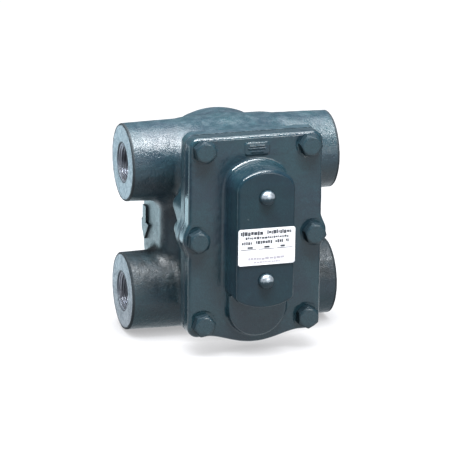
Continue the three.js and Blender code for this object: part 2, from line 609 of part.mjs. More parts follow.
function ventSeat() {
  const threaded = rod('y', 5.8, -5.6, 2.4, 18);
  const hexagon = hexBar(hexCornerR(VENT_SEAT_FLATS), 2.2, 6.2);
  return cut(join(threaded, hexagon, turned('y', VENT_NOSE, 18)), turned('y', VENT_BORE, 18));
}
// Disc clamped under the vent seat, with four legs round the capsule.
function ventCage() {
  const disc = ring('y', 6.2, CAGE_R, GAP, 1.8, 24);
  const wall = ring('y', CAGE_BORE_R, CAGE_R, 0.6, 22.6, 24);
  const capsuleLedge = ring('y', 16.1, 17.6, 14.4, 15.8, 24);
  const { half, from, to } = CAGE_WINDOW;
  const windows = [
    block([-30, 30], [from, to], [-half, half]),
    block([-half, half], [from, to], [-30, 30]),
  ];
  return join(cut(join(disc, wall), ...windows), capsuleLedge);
}
const ventCapsule = () => turned('y', CAPSULE, 20);
const ventValve = () => turned('y', VENT_VALVE, 16);
// Sprung wire ring, open below, that holds the capsule in the cage.
function capsuleClip() {
  return cut(ring('y', 15.0, 16.9, 17.6, 18.9, 24), block([-3, 3], [16, 20], [-20, -10]));
}

// ---------------------------------------------------------------- scene graph
function piece(name, manifold, look, parent) {
  const mesh = new THREE.Mesh(toGeometry(manifold), look);
  mesh.name = name;
  parent.add(mesh);
  return mesh;
}
const trap = new THREE.Group();
trap.name = 'steam_trap';
function subgroup(x, y, z) {
  const group = new THREE.Group();
  group.position.set(x, y, z);
  trap.add(group);
  return group;
}

piece('body_casting', bodyCasting(), PAINTED_IRON, trap);

const joint = subgroup(0, 0, 0);
piece('cover_casting', coverCasting(), COVER_IRON, joint);
piece('cover_gasket', coverGasket(), GASKET, joint);
for (const [name, x, z, turn] of BOLTS) {
  const bolt = piece(name, coverBolt(), BOLT_STEEL, joint);
  bolt.position.set(x, COVER_FRONT - GAP, z);
  bolt.rotation.y = turn;
}
piece('label_plate', labelPlate(), LABEL_WHITE, joint);
for (const [name, z] of [['upper_channel_plug', VENT_Z], ['lower_channel_plug', VALVE_Z]]) {
  piece(name, domedPlug(), BRIGHT_STEEL, joint).position.set(0, CHANNEL_FRONT - GAP, z);
}

const mainValve = subgroup(0, COVER_BACK, VALVE_Z);
piece('main_valve_seat', mainSeat(), STAINLESS, mainValve);
piece('main_seat_gasket', seatGasket(), COPPER, mainValve);
piece('main_valve_head', mainValveHead(), STAINLESS, mainValve);
piece('valve_link_pin', linkPin(), STAINLESS, mainValve);

const lever = subgroup(0, 0, 0);
piece('float_lever', floatLever(), STAINLESS, lever);
piece('float_ball', floatBall(), STAINLESS, lever);
piece('float_nut', floatNut(), BRASS, lever);

piece('pivot_bracket', pivotBracket(), STAINLESS, trap);
for (const [name, side] of [['bracket_screw_left', -1], ['bracket_screw_right', 1]]) {
  const screw = piece(name, bracketScrew(), STAINLESS, trap);
  screw.position.set(side * SCREW_X, BRACKET_BACK + GAP, SCREW_Z);
}
piece('pivot_pin', pivotPin(), STAINLESS, trap);
piece('pivot_pin_clip', pivotClip(), BRIGHT_STEEL, trap);

const airVent = subgroup(0, COVER_BACK, VENT_Z);
piece('vent_seat', ventSeat(), STAINLESS, airVent);
piece('vent_cage', ventCage(), STAINLESS, airVent);
piece('vent_capsule', ventCapsule(), BRIGHT_STEEL, airVent);
piece('vent_valve', ventValve(), STAINLESS, airVent);
piece('capsule_clip', capsuleClip(), BRIGHT_STEEL, airVent);

trap.position.set(0, SET_BACK, LIFT);

export default trap;
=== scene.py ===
# Looks of the steam trap: fine meshes, materials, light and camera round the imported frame.
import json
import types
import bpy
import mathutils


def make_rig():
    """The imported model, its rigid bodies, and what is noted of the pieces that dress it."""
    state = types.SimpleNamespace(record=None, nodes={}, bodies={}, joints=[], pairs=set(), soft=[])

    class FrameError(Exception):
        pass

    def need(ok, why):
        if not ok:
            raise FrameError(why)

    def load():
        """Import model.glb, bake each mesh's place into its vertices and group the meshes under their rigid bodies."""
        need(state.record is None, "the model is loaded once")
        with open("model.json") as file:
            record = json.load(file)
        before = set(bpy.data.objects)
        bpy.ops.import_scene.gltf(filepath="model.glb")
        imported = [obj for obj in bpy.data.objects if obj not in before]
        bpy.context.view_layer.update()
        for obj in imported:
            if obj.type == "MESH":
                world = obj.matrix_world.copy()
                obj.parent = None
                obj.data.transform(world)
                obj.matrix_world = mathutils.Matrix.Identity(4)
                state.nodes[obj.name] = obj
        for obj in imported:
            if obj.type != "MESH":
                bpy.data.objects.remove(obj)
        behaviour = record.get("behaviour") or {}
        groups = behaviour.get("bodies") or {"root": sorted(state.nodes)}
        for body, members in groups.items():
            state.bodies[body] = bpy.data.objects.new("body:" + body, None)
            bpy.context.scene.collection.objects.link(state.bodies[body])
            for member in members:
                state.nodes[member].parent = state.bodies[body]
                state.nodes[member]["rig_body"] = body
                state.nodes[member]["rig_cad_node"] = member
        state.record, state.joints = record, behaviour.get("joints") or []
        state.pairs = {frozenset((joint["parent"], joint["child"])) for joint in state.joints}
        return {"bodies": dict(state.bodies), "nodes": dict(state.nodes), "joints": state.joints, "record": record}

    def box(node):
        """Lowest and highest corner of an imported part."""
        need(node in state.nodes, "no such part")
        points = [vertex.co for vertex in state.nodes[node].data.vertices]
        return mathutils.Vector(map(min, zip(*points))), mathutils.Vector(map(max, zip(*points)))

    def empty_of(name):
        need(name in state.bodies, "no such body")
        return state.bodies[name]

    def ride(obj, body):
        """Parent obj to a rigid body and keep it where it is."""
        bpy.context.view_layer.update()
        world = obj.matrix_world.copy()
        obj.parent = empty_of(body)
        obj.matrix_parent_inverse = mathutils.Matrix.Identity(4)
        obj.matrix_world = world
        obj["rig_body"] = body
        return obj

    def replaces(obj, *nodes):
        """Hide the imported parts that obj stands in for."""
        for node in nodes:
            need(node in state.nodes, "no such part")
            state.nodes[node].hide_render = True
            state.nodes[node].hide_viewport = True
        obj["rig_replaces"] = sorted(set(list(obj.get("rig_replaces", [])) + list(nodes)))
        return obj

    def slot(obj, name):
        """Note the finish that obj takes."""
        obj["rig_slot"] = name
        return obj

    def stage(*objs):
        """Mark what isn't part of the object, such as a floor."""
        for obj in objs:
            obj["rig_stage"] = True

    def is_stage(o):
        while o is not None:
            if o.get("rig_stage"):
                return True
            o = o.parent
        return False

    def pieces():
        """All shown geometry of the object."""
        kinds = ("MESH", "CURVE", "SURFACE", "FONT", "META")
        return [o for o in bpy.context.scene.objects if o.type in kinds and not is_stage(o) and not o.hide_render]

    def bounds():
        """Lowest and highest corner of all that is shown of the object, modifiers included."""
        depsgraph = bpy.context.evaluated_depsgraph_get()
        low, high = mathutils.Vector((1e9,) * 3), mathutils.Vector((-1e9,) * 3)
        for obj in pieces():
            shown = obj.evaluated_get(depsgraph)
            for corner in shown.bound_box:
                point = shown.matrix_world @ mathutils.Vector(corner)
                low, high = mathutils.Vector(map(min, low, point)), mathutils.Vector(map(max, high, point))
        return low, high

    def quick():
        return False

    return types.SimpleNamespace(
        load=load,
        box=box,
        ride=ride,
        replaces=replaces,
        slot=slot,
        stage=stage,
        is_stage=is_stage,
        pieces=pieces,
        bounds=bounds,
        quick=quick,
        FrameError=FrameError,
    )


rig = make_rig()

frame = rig.load()

import json
import math

import bpy
import numpy as np
from mathutils import Matrix, Vector

CAD_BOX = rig.bounds()
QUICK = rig.quick()

# ------------------------------------------------------------------ where things are
# Drawing frame: millimetres about the centre of the four ports. SHIFT takes it to the row frame.
SHIFT = np.array([0.0, 27.65, 74.85])
GAP = 0.3
FACE = 74.5
PORT_Z = 46.25
BOSS_R, BOSS_R_IN = 27.0, 28.6
CHAMBER_HALF, CHAMBER_TOP, CHAMBER_BOTTOM = 49.5, 74.2, -44.0
CHAMBER_FRONT, CHAMBER_BACK = -15.0, 41.5
WALL = 7.0
NECK_HALF = 38.0
FLANGE_FRONT, FLANGE_REAR = -57.1, -48.5
COVER_BACK, COVER_FRONT = -58.9, -69.1
COVER_HALF, COVER_TOP, COVER_BOTTOM = 47.2, 77.8, -62.1
CORNER = 7.0
BOLTS = {
    "upper_left": (-37.2, 69.2, 0.35), "upper_right": (37.2, 69.2, 0.1),
    "middle_left": (-41.2, 7.1, 0.62), "middle_right": (41.2, 7.1, 0.2),
    "lower_left": (-37.2, -52.4, 0.85), "lower_right": (37.2, -52.4, 0.5),
}
EAR_R = 9.8
BULGE_R, BULGE_Z = 34.0, -34.0
CH_FRONT = -92.3
CH_HALF, CH_HALF_FRONT, CH_TOP, CH_ARC = 20.8, 20.3, 59.2, 27.6
STEP_Z, STEP_R = -36.2, 38.0
PAD_FRONT, PAD_Z = -76.3, -41.0
OUTLET_Z, OUTLET_R = -50.0, 7.2
VALVE_Z, VENT_Z = -17.7, 40.3
PIVOT_Y, PIVOT_Z = -43.5, -4.0
FLOAT_R, FLOAT_Y, FLOAT_Z = 27.0, 3.4, 0.6
LABEL = dict(half=20.0, bottom=-6.0, top=19.4, corner=1.8, thick=0.5)


# ------------------------------------------------------------------ distance functions
def smin(a, b, r):
    """Union with a round fillet of radius r."""
    return np.maximum(r, np.minimum(a, b)) - np.hypot(np.maximum(r - a, 0), np.maximum(r - b, 0))


def smax(a, b, r):
    """Intersection with a rounded edge of radius r."""
    return np.minimum(-r, np.maximum(a, b)) + np.hypot(np.maximum(r + a, 0), np.maximum(r + b, 0))


def cut(a, b, r=0.4):
    return smax(a, -b, r)


def rect2(u, v, u0, u1, v0, v1, r):
    cu, cv, hu, hv = (u0 + u1) / 2, (v0 + v1) / 2, (u1 - u0) / 2, (v1 - v0) / 2
    qu, qv = np.abs(u - cu) - hu + r, np.abs(v - cv) - hv + r
    return np.hypot(np.maximum(qu, 0), np.maximum(qv, 0)) + np.minimum(np.maximum(qu, qv), 0) - r


def arch2(x, z, half, top, bottom, low_r, top_r):
    """Rounded outline in X and Z with one corner radius above and another below."""
    c, h = (top + bottom) / 2, (top - bottom) / 2
    r = np.where(z > c, top_r, low_r)
    qx, qz = np.abs(x) - half + r, np.abs(z - c) - h + r
    return np.hypot(np.maximum(qx, 0), np.maximum(qz, 0)) + np.minimum(np.maximum(qx, qz), 0) - r


def slab(y, y0, y1):
    return np.maximum(y0 - y, y - y1)


def poly2(u, v, points):
    """Signed distance to a polygon."""
    p = np.array(points, float)
    d = None
    sign = 1.0
    n = len(p)
    for i in range(n):
        a, b = p[i], p[i - 1]
        e = b - a
        wu, wv = u - a[0], v - a[1]
        t = np.clip((wu * e[0] + wv * e[1]) / (e @ e), 0, 1)
        bu, bv = wu - e[0] * t, wv - e[1] * t
        q = bu * bu + bv * bv
        d = q if d is None else np.minimum(d, q)
        c1, c2, c3 = v >= a[1], v < b[1], e[0] * wv > e[1] * wu
        flip = (c1 & c2 & c3) | (~c1 & ~c2 & ~c3)
        sign = np.where(flip, -sign, sign)
    return sign * np.sqrt(d)


_rng = np.random.default_rng(7)
_waves = [( _rng.normal(size=3), _rng.uniform(0, 6.28)) for _ in range(14)]


def waviness(x, y, z, scale, first=0, count=5):
    """Gentle unevenness of a sand casting, about -1 to 1."""
    total = 0.0
    for k, phase in _waves[first:first + count]:
        k = k / np.linalg.norm(k) * (2 * math.pi / scale) * (0.75 + 0.5 * abs(math.sin(phase)))
        total = total + np.sin(k[0] * x + k[1] * y + k[2] * z + phase)
    return total / count * 1.6


# ------------------------------------------------------------------ surface from a distance function
def contour(f, lo, hi, h):
    """Dual contouring: a closed quad mesh of f = 0 that keeps sharp edges sharp."""
    lo, hi = np.array(lo, float), np.array(hi, float)
    h = np.array([h, h, h] if np.isscalar(h) else h, float)
    n = np.ceil((hi - lo) / h).astype(int) + 1
    ax = [lo[i] + h[i] * np.arange(n[i]) for i in range(3)]
    grid = np.empty(n, np.float32)
    step = max(1, int(3e6 // (n[1] * n[2])))
    for s in range(0, n[0], step):
        grid[s:s + step] = f(ax[0][s:s + step, None, None], ax[1][None, :, None], ax[2][None, None, :])
    inside = grid < 0
    cn = n - 1
    points, normals, quads, flips = [], [], [], []
    for a in range(3):
        u, v = (a + 1) % 3, (a + 2) % 3
        s0 = [slice(None)] * 3
        s1 = [slice(None)] * 3
        s0[a], s1[a] = slice(0, n[a] - 1), slice(1, n[a])
        for q in (u, v):
            s0[q] = s1[q] = slice(1, n[q] - 1)
        i0, i1 = inside[tuple(s0)], inside[tuple(s1)]
        idx = np.argwhere(i0 != i1)
        if not len(idx):
            continue
        off = np.zeros(3, int)
        off[u] = off[v] = 1
        idx = idx + off
        e = np.zeros(3)
        e[a] = h[a]
        base = lo + idx * h
        d0 = grid[tuple(idx.T)].astype(float)
        j = idx.copy()
        j[:, a] += 1
        d1 = grid[tuple(j.T)].astype(float)
        t0, t1 = np.zeros(len(idx)), np.ones(len(idx))
        for _ in range(3):
            t = t0 + (t1 - t0) * np.clip(d0 / (d0 - d1 + 1e-12), 0.02, 0.98)
            p = base + t[:, None] * e
            d = f(p[:, 0], p[:, 1], p[:, 2])
            same = (d < 0) == (d0 < 0)
            t0, d0 = np.where(same, t, t0), np.where(same, d, d0)
            t1, d1 = np.where(same, t1, t), np.where(same, d1, d)
        t = t0 + (t1 - t0) * np.clip(d0 / (d0 - d1 + 1e-12), 0, 1)
        p = base + t[:, None] * e
        g = np.zeros((len(p), 3))
        eps = 0.02
        for k in ((1, -1, -1), (-1, -1, 1), (-1, 1, -1), (1, 1, 1)):
            k = np.array(k, float)
            q = p + k * eps
            g += k * f(q[:, 0], q[:, 1], q[:, 2])[:, None]
        g /= np.linalg.norm(g, axis=1)[:, None] + 1e-12
        cells = []
        for du, dv in ((-1, -1), (0, -1), (0, 0), (-1, 0)):
            c = idx.copy()
            c[:, u] += du
            c[:, v] += dv
            cells.append((c[:, 0] * cn[1] + c[:, 1]) * cn[2] + c[:, 2])
        points.append(p)
        normals.append(g)
        quads.append(np.stack(cells, 1))
        flips.append(~inside[tuple(idx.T)])
    p, g = np.concatenate(points), np.concatenate(normals)
    quad, flip = np.concatenate(quads), np.concatenate(flips)
    ids, inv = np.unique(quad.ravel(), return_inverse=True)
    m = len(ids)
    who = np.repeat(np.arange(len(p)), 4)
    count = np.bincount(inv, minlength=m).astype(float)
    mass = np.stack([np.bincount(inv, p[who, i], m) for i in range(3)], 1) / count[:, None]
    rel = ((p[who] - mass[inv]) * g[who]).sum(1)
    A = np.empty((m, 3, 3))
    for i in range(3):
        for k in range(i, 3):
            A[:, i, k] = A[:, k, i] = np.bincount(inv, g[who, i] * g[who, k], m)
    b = np.stack([np.bincount(inv, g[who, i] * rel, m) for i in range(3)], 1)
    A += np.eye(3) * 0.03
    d = np.linalg.solve(A, b[:, :, None])[:, :, 0]
    cell = np.stack(np.unravel_index(ids, tuple(cn)), 1)
    c0 = lo + cell * h
    verts = np.clip(mass + d, c0 + 0.02 * h, c0 + 0.98 * h)
    faces = inv.reshape(-1, 4)
    faces = np.where(flip[:, None], faces[:, ::-1], faces)
    return verts, faces


def smooth_normals(f, verts, faces, limit=32):
    """One normal per face corner, from the distance function, with true creases left sharp."""
    g = np.zeros_like(verts)
    for k in ((1, -1, -1), (-1, -1, 1), (-1, 1, -1), (1, 1, 1)):
        k = np.array(k, float)
        q = verts + k * 0.15
        g += k * f(q[:, 0], q[:, 1], q[:, 2])[:, None]
    g /= np.linalg.norm(g, axis=1)[:, None] + 1e-12
    a, b, c, d = (verts[faces[:, i]] for i in range(4))
    fn = np.cross(c - a, d - b)
    fn /= np.linalg.norm(fn, axis=1)[:, None] + 1e-12
    vn = g[faces]
    agree = (vn * fn[:, None, :]).sum(2) > math.cos(math.radians(limit))
    return np.where(agree[:, :, None], vn, fn[:, None, :]).reshape(-1, 3)


# ------------------------------------------------------------------ castings
def joint_outline(x, z, grow=0.0):
    """Outline of the bolted joint: a rounded rectangle, an ear on each side and a round bulge below."""
    d = rect2(x, z, -COVER_HALF, COVER_HALF, COVER_BOTTOM, COVER_TOP, CORNER)
    ear = np.hypot(np.abs(x) - 41.2, z - 7.1) - EAR_R
    bulge = np.hypot(x, z - BULGE_Z) - BULGE_R
    d = smin(d, ear, 4.0)
    # the bulge blends in only where it leaves the straight lower edge
    low = smin(d, bulge, 9.0)
    return np.where(z < -30, low, d) - grow


def opening(x, z, grow=0.0):
    return rect2(x, z, -31.5, 31.5, -35.0, 60.0, 9.0) - grow


ARROW = [(24.0, 6), (31.0, 6), (31.0, -5.5), (37.5, -5.5), (27.5, -17.5), (17.5, -5.5), (24.0, -5.5)]


def body_outer(x, y, z):
    ax = np.abs(x)
    taper = BOSS_R_IN + (BOSS_R - BOSS_R_IN) * ax / (FACE - 0.8)
    up = np.hypot(y, z - PORT_Z) - taper
    low = np.hypot(y, z + PORT_Z) - taper
    # chamber
    zt = np.clip((z - 15.0) / 45.0, 0, 1)
    r_edge = 9.5 + 6.5 * zt * zt * (3 - 2 * zt)
    ch = arch2(x, z, CHAMBER_HALF, CHAMBER_TOP, CHAMBER_BOTTOM, 20.0, CHAMBER_HALF)
    ch = smax(ch, y - CHAMBER_BACK, r_edge)
    ch = smax(ch, CHAMBER_FRONT - y, 9.5)
    # neck, its roof falling towards the joint
    t = np.clip((2.0 - y) / 51.5, 0, 1)
    nk = arch2(x, z, NECK_HALF, 74.0 - 4.5 * t, -60.0 + 2.0 * t, 15.0, 24.0 - 4.0 * t)
    nk = np.maximum(nk, slab(y, FLANGE_REAR - 1.0, 4.0))
    d = smin(ch, nk, 6.0)
    side = np.clip((ax - 10.0) / 24.0, 0, 1)
    side = side * side * (3 - 2 * side)
    d = smin(d, up, 0.6 + 7.4 * side)
    d = smin(d, low, 6.0)
    # joint flange and the bolt lugs behind it
    fl = smax(joint_outline(x, z), FLANGE_FRONT - y, 0.12)
    fl = smax(fl, y - FLANGE_REAR, 1.6)
    for name, (bx, bz, _) in BOLTS.items():
        k = 0.985
        lug = np.hypot(x - bx * k, z - bz * k) - (8.2 - (y - FLANGE_REAR) * 0.1)
        lug = smax(lug, slab(y, FLANGE_REAR - 2.0, FLANGE_REAR + 11.0), 2.4)
        if name.startswith("middle"):
            # these two are longer than the rest
            lug = smax(np.hypot(x - bx * 0.97, z - bz + 1.0) - 7.6, slab(y, FLANGE_REAR - 2.0, FLANGE_REAR + 17.0), 3.4)
        fl = smin(fl, lug, 3.0)
    # gusset behind the joint flange, under each upper port
    back = FLANGE_REAR + np.clip((z - 3.0) * 1.25, 0.0, 24.0)
    web = smax(smax(ax - 46.2, (y - back) * 0.65, 1.2), np.maximum(3.0 - z, FLANGE_REAR - 2.0 - y), 1.0)
    web = smax(web, (z - 30.0) * 0.8 + (ax - 44.0) * 0.6, 7.0)
    fl = smin(fl, web, 2.0)
    d = smin(d, fl, 4.5)
    return d


def body_sdf(x, y, z):
    d = body_outer(x, y, z)
    d = d + 0.10 * waviness(x, y, z, 17.0) + 0.05 * waviness(x, y, z, 7.0, 5, 6)
    ax = np.abs(x)
    # plain raised flow arrow on each side wall
    ch = smax(arch2(x, z, CHAMBER_HALF, CHAMBER_TOP, CHAMBER_BOTTOM, 20.0, CHAMBER_HALF), y - CHAMBER_BACK, 9.5)
    arrow = smax(poly2(y, z, ARROW) - 0.3, ch - 1.7, 0.3)
    arrow = smax(arrow, 38.0 - ax, 0.3)
    d = smin(d, arrow, 0.4)
    d = smax(d, ax - FACE, 0.9)
    d = smax(d, FLANGE_FRONT - y, 0.3)
    # float chamber
    cav = arch2(x, z, CHAMBER_HALF - WALL, CHAMBER_TOP - WALL, -28.0, 12.0, 40.0)
    cav = smax(cav, slab(y, CHAMBER_FRONT + 6.0, CHAMBER_BACK - WALL), 9.0)
    neck = np.maximum(opening(x, z), slab(y, FLANGE_FRONT - 5.0, -20.0))
    neck2 = np.maximum(rect2(x, z, -31.5, 31.5, -28.0, 60.0, 9.0), slab(y, -21.0, 6.0))
    cav = smin(smin(cav, neck2, 3.0), neck, 1.5)
    # passages and ports
    rz = np.abs(z) - PORT_Z
    rad = np.hypot(y, rz)
    hole = np.where(ax > FACE - 22.5, rad - 13.35, rad - 11.4)
    hole = np.where(z > 0, np.maximum(hole, 30.0 - ax), hole)
    cav = smin(cav, hole, 1.0)
    out = np.maximum(np.hypot(x, z - OUTLET_Z) - OUTLET_R, slab(y, FLANGE_FRONT - 5.0, -6.0))
    cav = np.minimum(cav, out)
    d = cut(d, cav, 0.5)
    for bx, bz, _ in BOLTS.values():
        d = np.maximum(d, -np.maximum(np.hypot(x - bx, z - bz) - 4.8, slab(y, FLANGE_FRONT - 5.0, -39.5)))
    return d


def channel_outline(x, z, half, inset=0.0):
    top = smax(np.abs(x) - half, np.hypot(x, np.maximum(z - (CH_TOP - CH_ARC), 0.0)) - CH_ARC, 4.0)
    low = np.hypot(x, z - PAD_Z) - half
    return np.where(z > PAD_Z, top, low) + inset


def cover_sdf(x, y, z):
    d = smax(joint_outline(x, z), COVER_FRONT - y, 2.9)
    # raised channel with its curved step
    t = np.clip((COVER_FRONT - y) / (COVER_FRONT - CH_FRONT), 0, 1)
    half = CH_HALF + (CH_HALF_FRONT - CH_HALF) * t
    ol = channel_outline(x, z, half)
    full = smax(ol, CH_FRONT - y, 2.7)
    cz = STEP_Z + STEP_R
    keep = np.where(z < cz, np.hypot(x, z - cz) - STEP_R, np.abs(x) - STEP_R)
    full = smax(full, keep + (COVER_FRONT - y) * -0.03, 1.8)
    pad = smax(ol, PAD_FRONT - y, 2.0)
    ch = smin(full, pad, 2.2)
    ch = np.maximum(ch, y - (COVER_FRONT + 3.0))
    d = smin(d, ch, 3.8)
    # blank raised size pad with three plain bars
    mark = smax(rect2(x, z, -8.5, 8.5, 64.4, 72.6, 1.8), COVER_FRONT - 0.45 - y, 0.3)
    mark = np.maximum(mark, y - (COVER_FRONT + 2.0))
    d = smin(d, mark, 0.8)
    for k, w in ((70.6, 5.6), (68.5, 6.6), (66.4, 4.6)):
        bar = smax(rect2(x, z, -w, w, k - 0.45, k + 0.45, 0.4), COVER_FRONT - 0.72 - y, 0.15)
        d = smin(d, np.maximum(bar, y - (COVER_FRONT + 2.0)), 0.3)
    d = d + 0.08 * waviness(x, y, z, 19.0, 3, 5) + 0.035 * waviness(x, y, z, 6.5, 6, 6)
    # spot faces under the bolt heads
    for bx, bz, _ in BOLTS.values():
        spot = np.maximum(np.hypot(x - bx, z - bz) - 9.2, y - (COVER_FRONT + 0.02))
        d = cut(d, spot, 0.25)
    d = np.maximum(d, y - COVER_BACK)
    # discharge channel inside
    wall = 4.8
    duct = smax(channel_outline(x, z, half, wall), slab(y, CH_FRONT + wall, -65.2), 2.5)
    duct = smax(duct, np.where(z < cz, np.hypot(x, z - cz) - (STEP_R - wall), -50.0), 2.0)
    low = smax(np.hypot(x, z + 43.0) - 14.5, slab(y, PAD_FRONT + 3.8, -65.2), 1.5)
    low2 = smax(rect2(x, z, -14.5, 14.5, -43.0, -20.0, 0.5), slab(y, PAD_FRONT + 3.8, -65.2), 1.5)
    duct = np.minimum(np.minimum(duct, low), low2)
    holes = np.hypot(x, z - OUTLET_Z) - OUTLET_R
    holes = np.minimum(holes, np.hypot(x, z - VALVE_Z) - 7.4)
    holes = np.minimum(holes, np.hypot(x, z - VENT_Z) - 6.1)
    duct = np.minimum(duct, np.maximum(holes, -66.5 - y))
    for bx in (-12.5, 12.5):
        duct = np.minimum(duct, np.maximum(np.hypot(x - bx, z - 9.5) - 2.3, COVER_BACK - 4.6 - y))
    for zz in (VALVE_Z, VENT_Z):
        duct = np.minimum(duct, np.maximum(np.hypot(x, z - zz) - 3.2, y - (CH_FRONT + 6.0)))
    d = cut(d, duct, 0.3)
    for bx, bz, _ in BOLTS.values():
        d = np.maximum(d, -(np.hypot(x - bx, z - bz) - 4.8))
    return d


def gasket_sdf(x, y, z):
    d = np.maximum(joint_outline(x, z, -0.08), slab(y, COVER_BACK + 0.02, FLANGE_FRONT - 0.02))
    d = np.maximum(d, -opening(x, z, 0.5))
    d = np.maximum(d, -(np.hypot(x, z - OUTLET_Z) - 7.6))
    for bx, bz, _ in BOLTS.values():
        d = np.maximum(d, -(np.hypot(x - bx, z - bz) - 5.1))
    return d


def hex2(u, v, flat):
    """Hexagon with flats flat apart, a corner along +u."""
    d = None
    for k in range(3):
        a = math.radians(30 + 60 * k)
        q = np.abs(u * math.cos(a) + v * math.sin(a)) - flat / 2
        d = q if d is None else smax(d, q, 0.35)
    return d


def thread_r(rad, ang, t, pitch, crest, depth):
    """Outside thread: triangular ridges with a small land."""
    w = (t / pitch - ang / (2 * math.pi)) % 1.0
    tri = np.abs(w - 0.5) * 2.0
    prof = np.clip(tri * 1.15 - 0.08, 0, 1)
    return rad - (crest - depth * prof)


HEAD_H, HEAD_AF, BOLT_LEN = 6.0, 14.2, 29.0


def bolt_sdf(x, y, z):
    """Seating face at y = 0, shank along +Y."""
    rad = np.hypot(x, z)
    head = hex2(x, z, HEAD_AF)
    # chamfered crown
    crown = (rad - HEAD_AF * 0.415) * 0.5 + (-HEAD_H - y) * 0.866
    head = smax(head, crown, 0.35)
    head = smax(head, slab(y, -HEAD_H, 0.0), 0.3)
    flange = smax(rad - 6.7, slab(y, -0.8, 0.28), 0.2)
    head = np.minimum(head, flange)
    ang = np.arctan2(z, x)
    fade = np.clip((y - 9.5) / 1.6, 0, 1) * np.clip((BOLT_LEN - y) / 1.4, 0, 1)
    shank = thread_r(rad, ang, y, 1.5875, 4.4, 0.85 * fade) * 0.8
    shank = smax(shank, slab(y, -0.5, BOLT_LEN), 0.3)
    shank = smax(shank, (rad - 3.5) * 0.707 + (y - BOLT_LEN) * 0.707, 0.2)
    return smin(head, shank, 0.4)


# ------------------------------------------------------------------ small parts
def turn(rad, t, points, r=0.0):
    """Solid of revolution: polygon of (radius, station), its edges rounded by r."""
    return poly2(rad, t, points) - r


def bore(rad, t, points):
    """Revolved hole whose radius follows (station, radius) pairs."""
    return (rad - np.interp(t, [p[0] for p in points], [p[1] for p in points])) * 0.8


def boxd(x, y, z, x0, x1, y0, y1, z0, z1, r=0.25):
    qx, qy, qz = (np.abs(p - (a + b) / 2) - (b - a) / 2 + r for p, a, b in ((x, x0, x1), (y, y0, y1), (z, z0, z1)))
    out = np.sqrt(np.maximum(qx, 0) ** 2 + np.maximum(qy, 0) ** 2 + np.maximum(qz, 0) ** 2)
    return out + np.minimum(np.maximum(np.maximum(qx, qy), qz), 0) - r


def seat_sdf(x, y, z):
    y, z = y - COVER_BACK, z - VALVE_Z
    rad, ang = np.hypot(x, z), np.arctan2(z, x)
    d = smax(thread_r(rad, ang, y, 1.5, 7.0, 0.7) * 0.8, slab(y, -5.8, 1.6), 0.25)
    d = np.minimum(d, np.maximum(rad - 6.5, slab(y, 0.2, 2.4)))
    hx = smax(smax(hex2(z, x, 18.9), slab(y, 1.75, 6.2), 0.2), (rad - 9.9) * 0.5 + (y - 6.0) * 0.866, 0.2)
    d = np.minimum(d, hx)
    d = smin(d, turn(rad, y, [(-5, 5.8), (6.3, 5.8), (5.15, 8.1), (-5, 8.1)]), 0.3)
    return cut(d, bore(rad, y, [(-6.5, 5.0), (1.0, 5.0), (3.4, 2.9), (6.8, 2.9), (8.9, 4.5)]), 0.1)


def seat_gasket_sdf(x, y, z):
    y, z = y - COVER_BACK, z - VALVE_Z
    rad = np.hypot(x, z)
    return turn(rad, y, [(7.6, GAP + 0.2), (10.0, GAP + 0.2), (10.0, 1.2), (7.6, 1.2)], 0.18) + 0.02 * np.sin(5 * np.arctan2(z, x))


def valve_head_sdf(x, y, z):
    y, z = y - COVER_BACK, z - VALVE_Z
    rad = np.hypot(x, z)
    stem = turn(rad, y, [(-5, 6.15), (1.0, 6.2), (3.95, 9.05), (3.95, 10.35), (2.85, 11.15), (2.85, 13.4), (-5, 13.4)], 0.12)
    pin = PIVOT_Y - COVER_BACK
    tang = boxd(x, y, z, -4.3, 4.3, 12.0, pin + 3.4, -3.3, 3.3, 0.7)
    tang = smax(tang, np.where(y > pin, np.hypot(y - pin, z) - 3.9, -10.0), 0.3)
    d = smin(stem, tang, 0.8)
    return cut(d, np.hypot(y - pin, z) - 1.65, 0.2)


def link_pin_sdf(x, y, z):
    y, z = y - PIVOT_Y, z - VALVE_Z
    rad, ax = np.hypot(y, z), np.abs(x)
    d = np.maximum(rad - 1.3, ax - 8.6)
    head = smax(rad - 2.4, slab(ax, 7.8, 9.0), 0.35)
    dimple = np.hypot(rad, ax - 9.5) - 0.9
    return cut(smin(d, head, 0.15), dimple, 0.15)


FACE_Y = FLOAT_Y - FLOAT_R


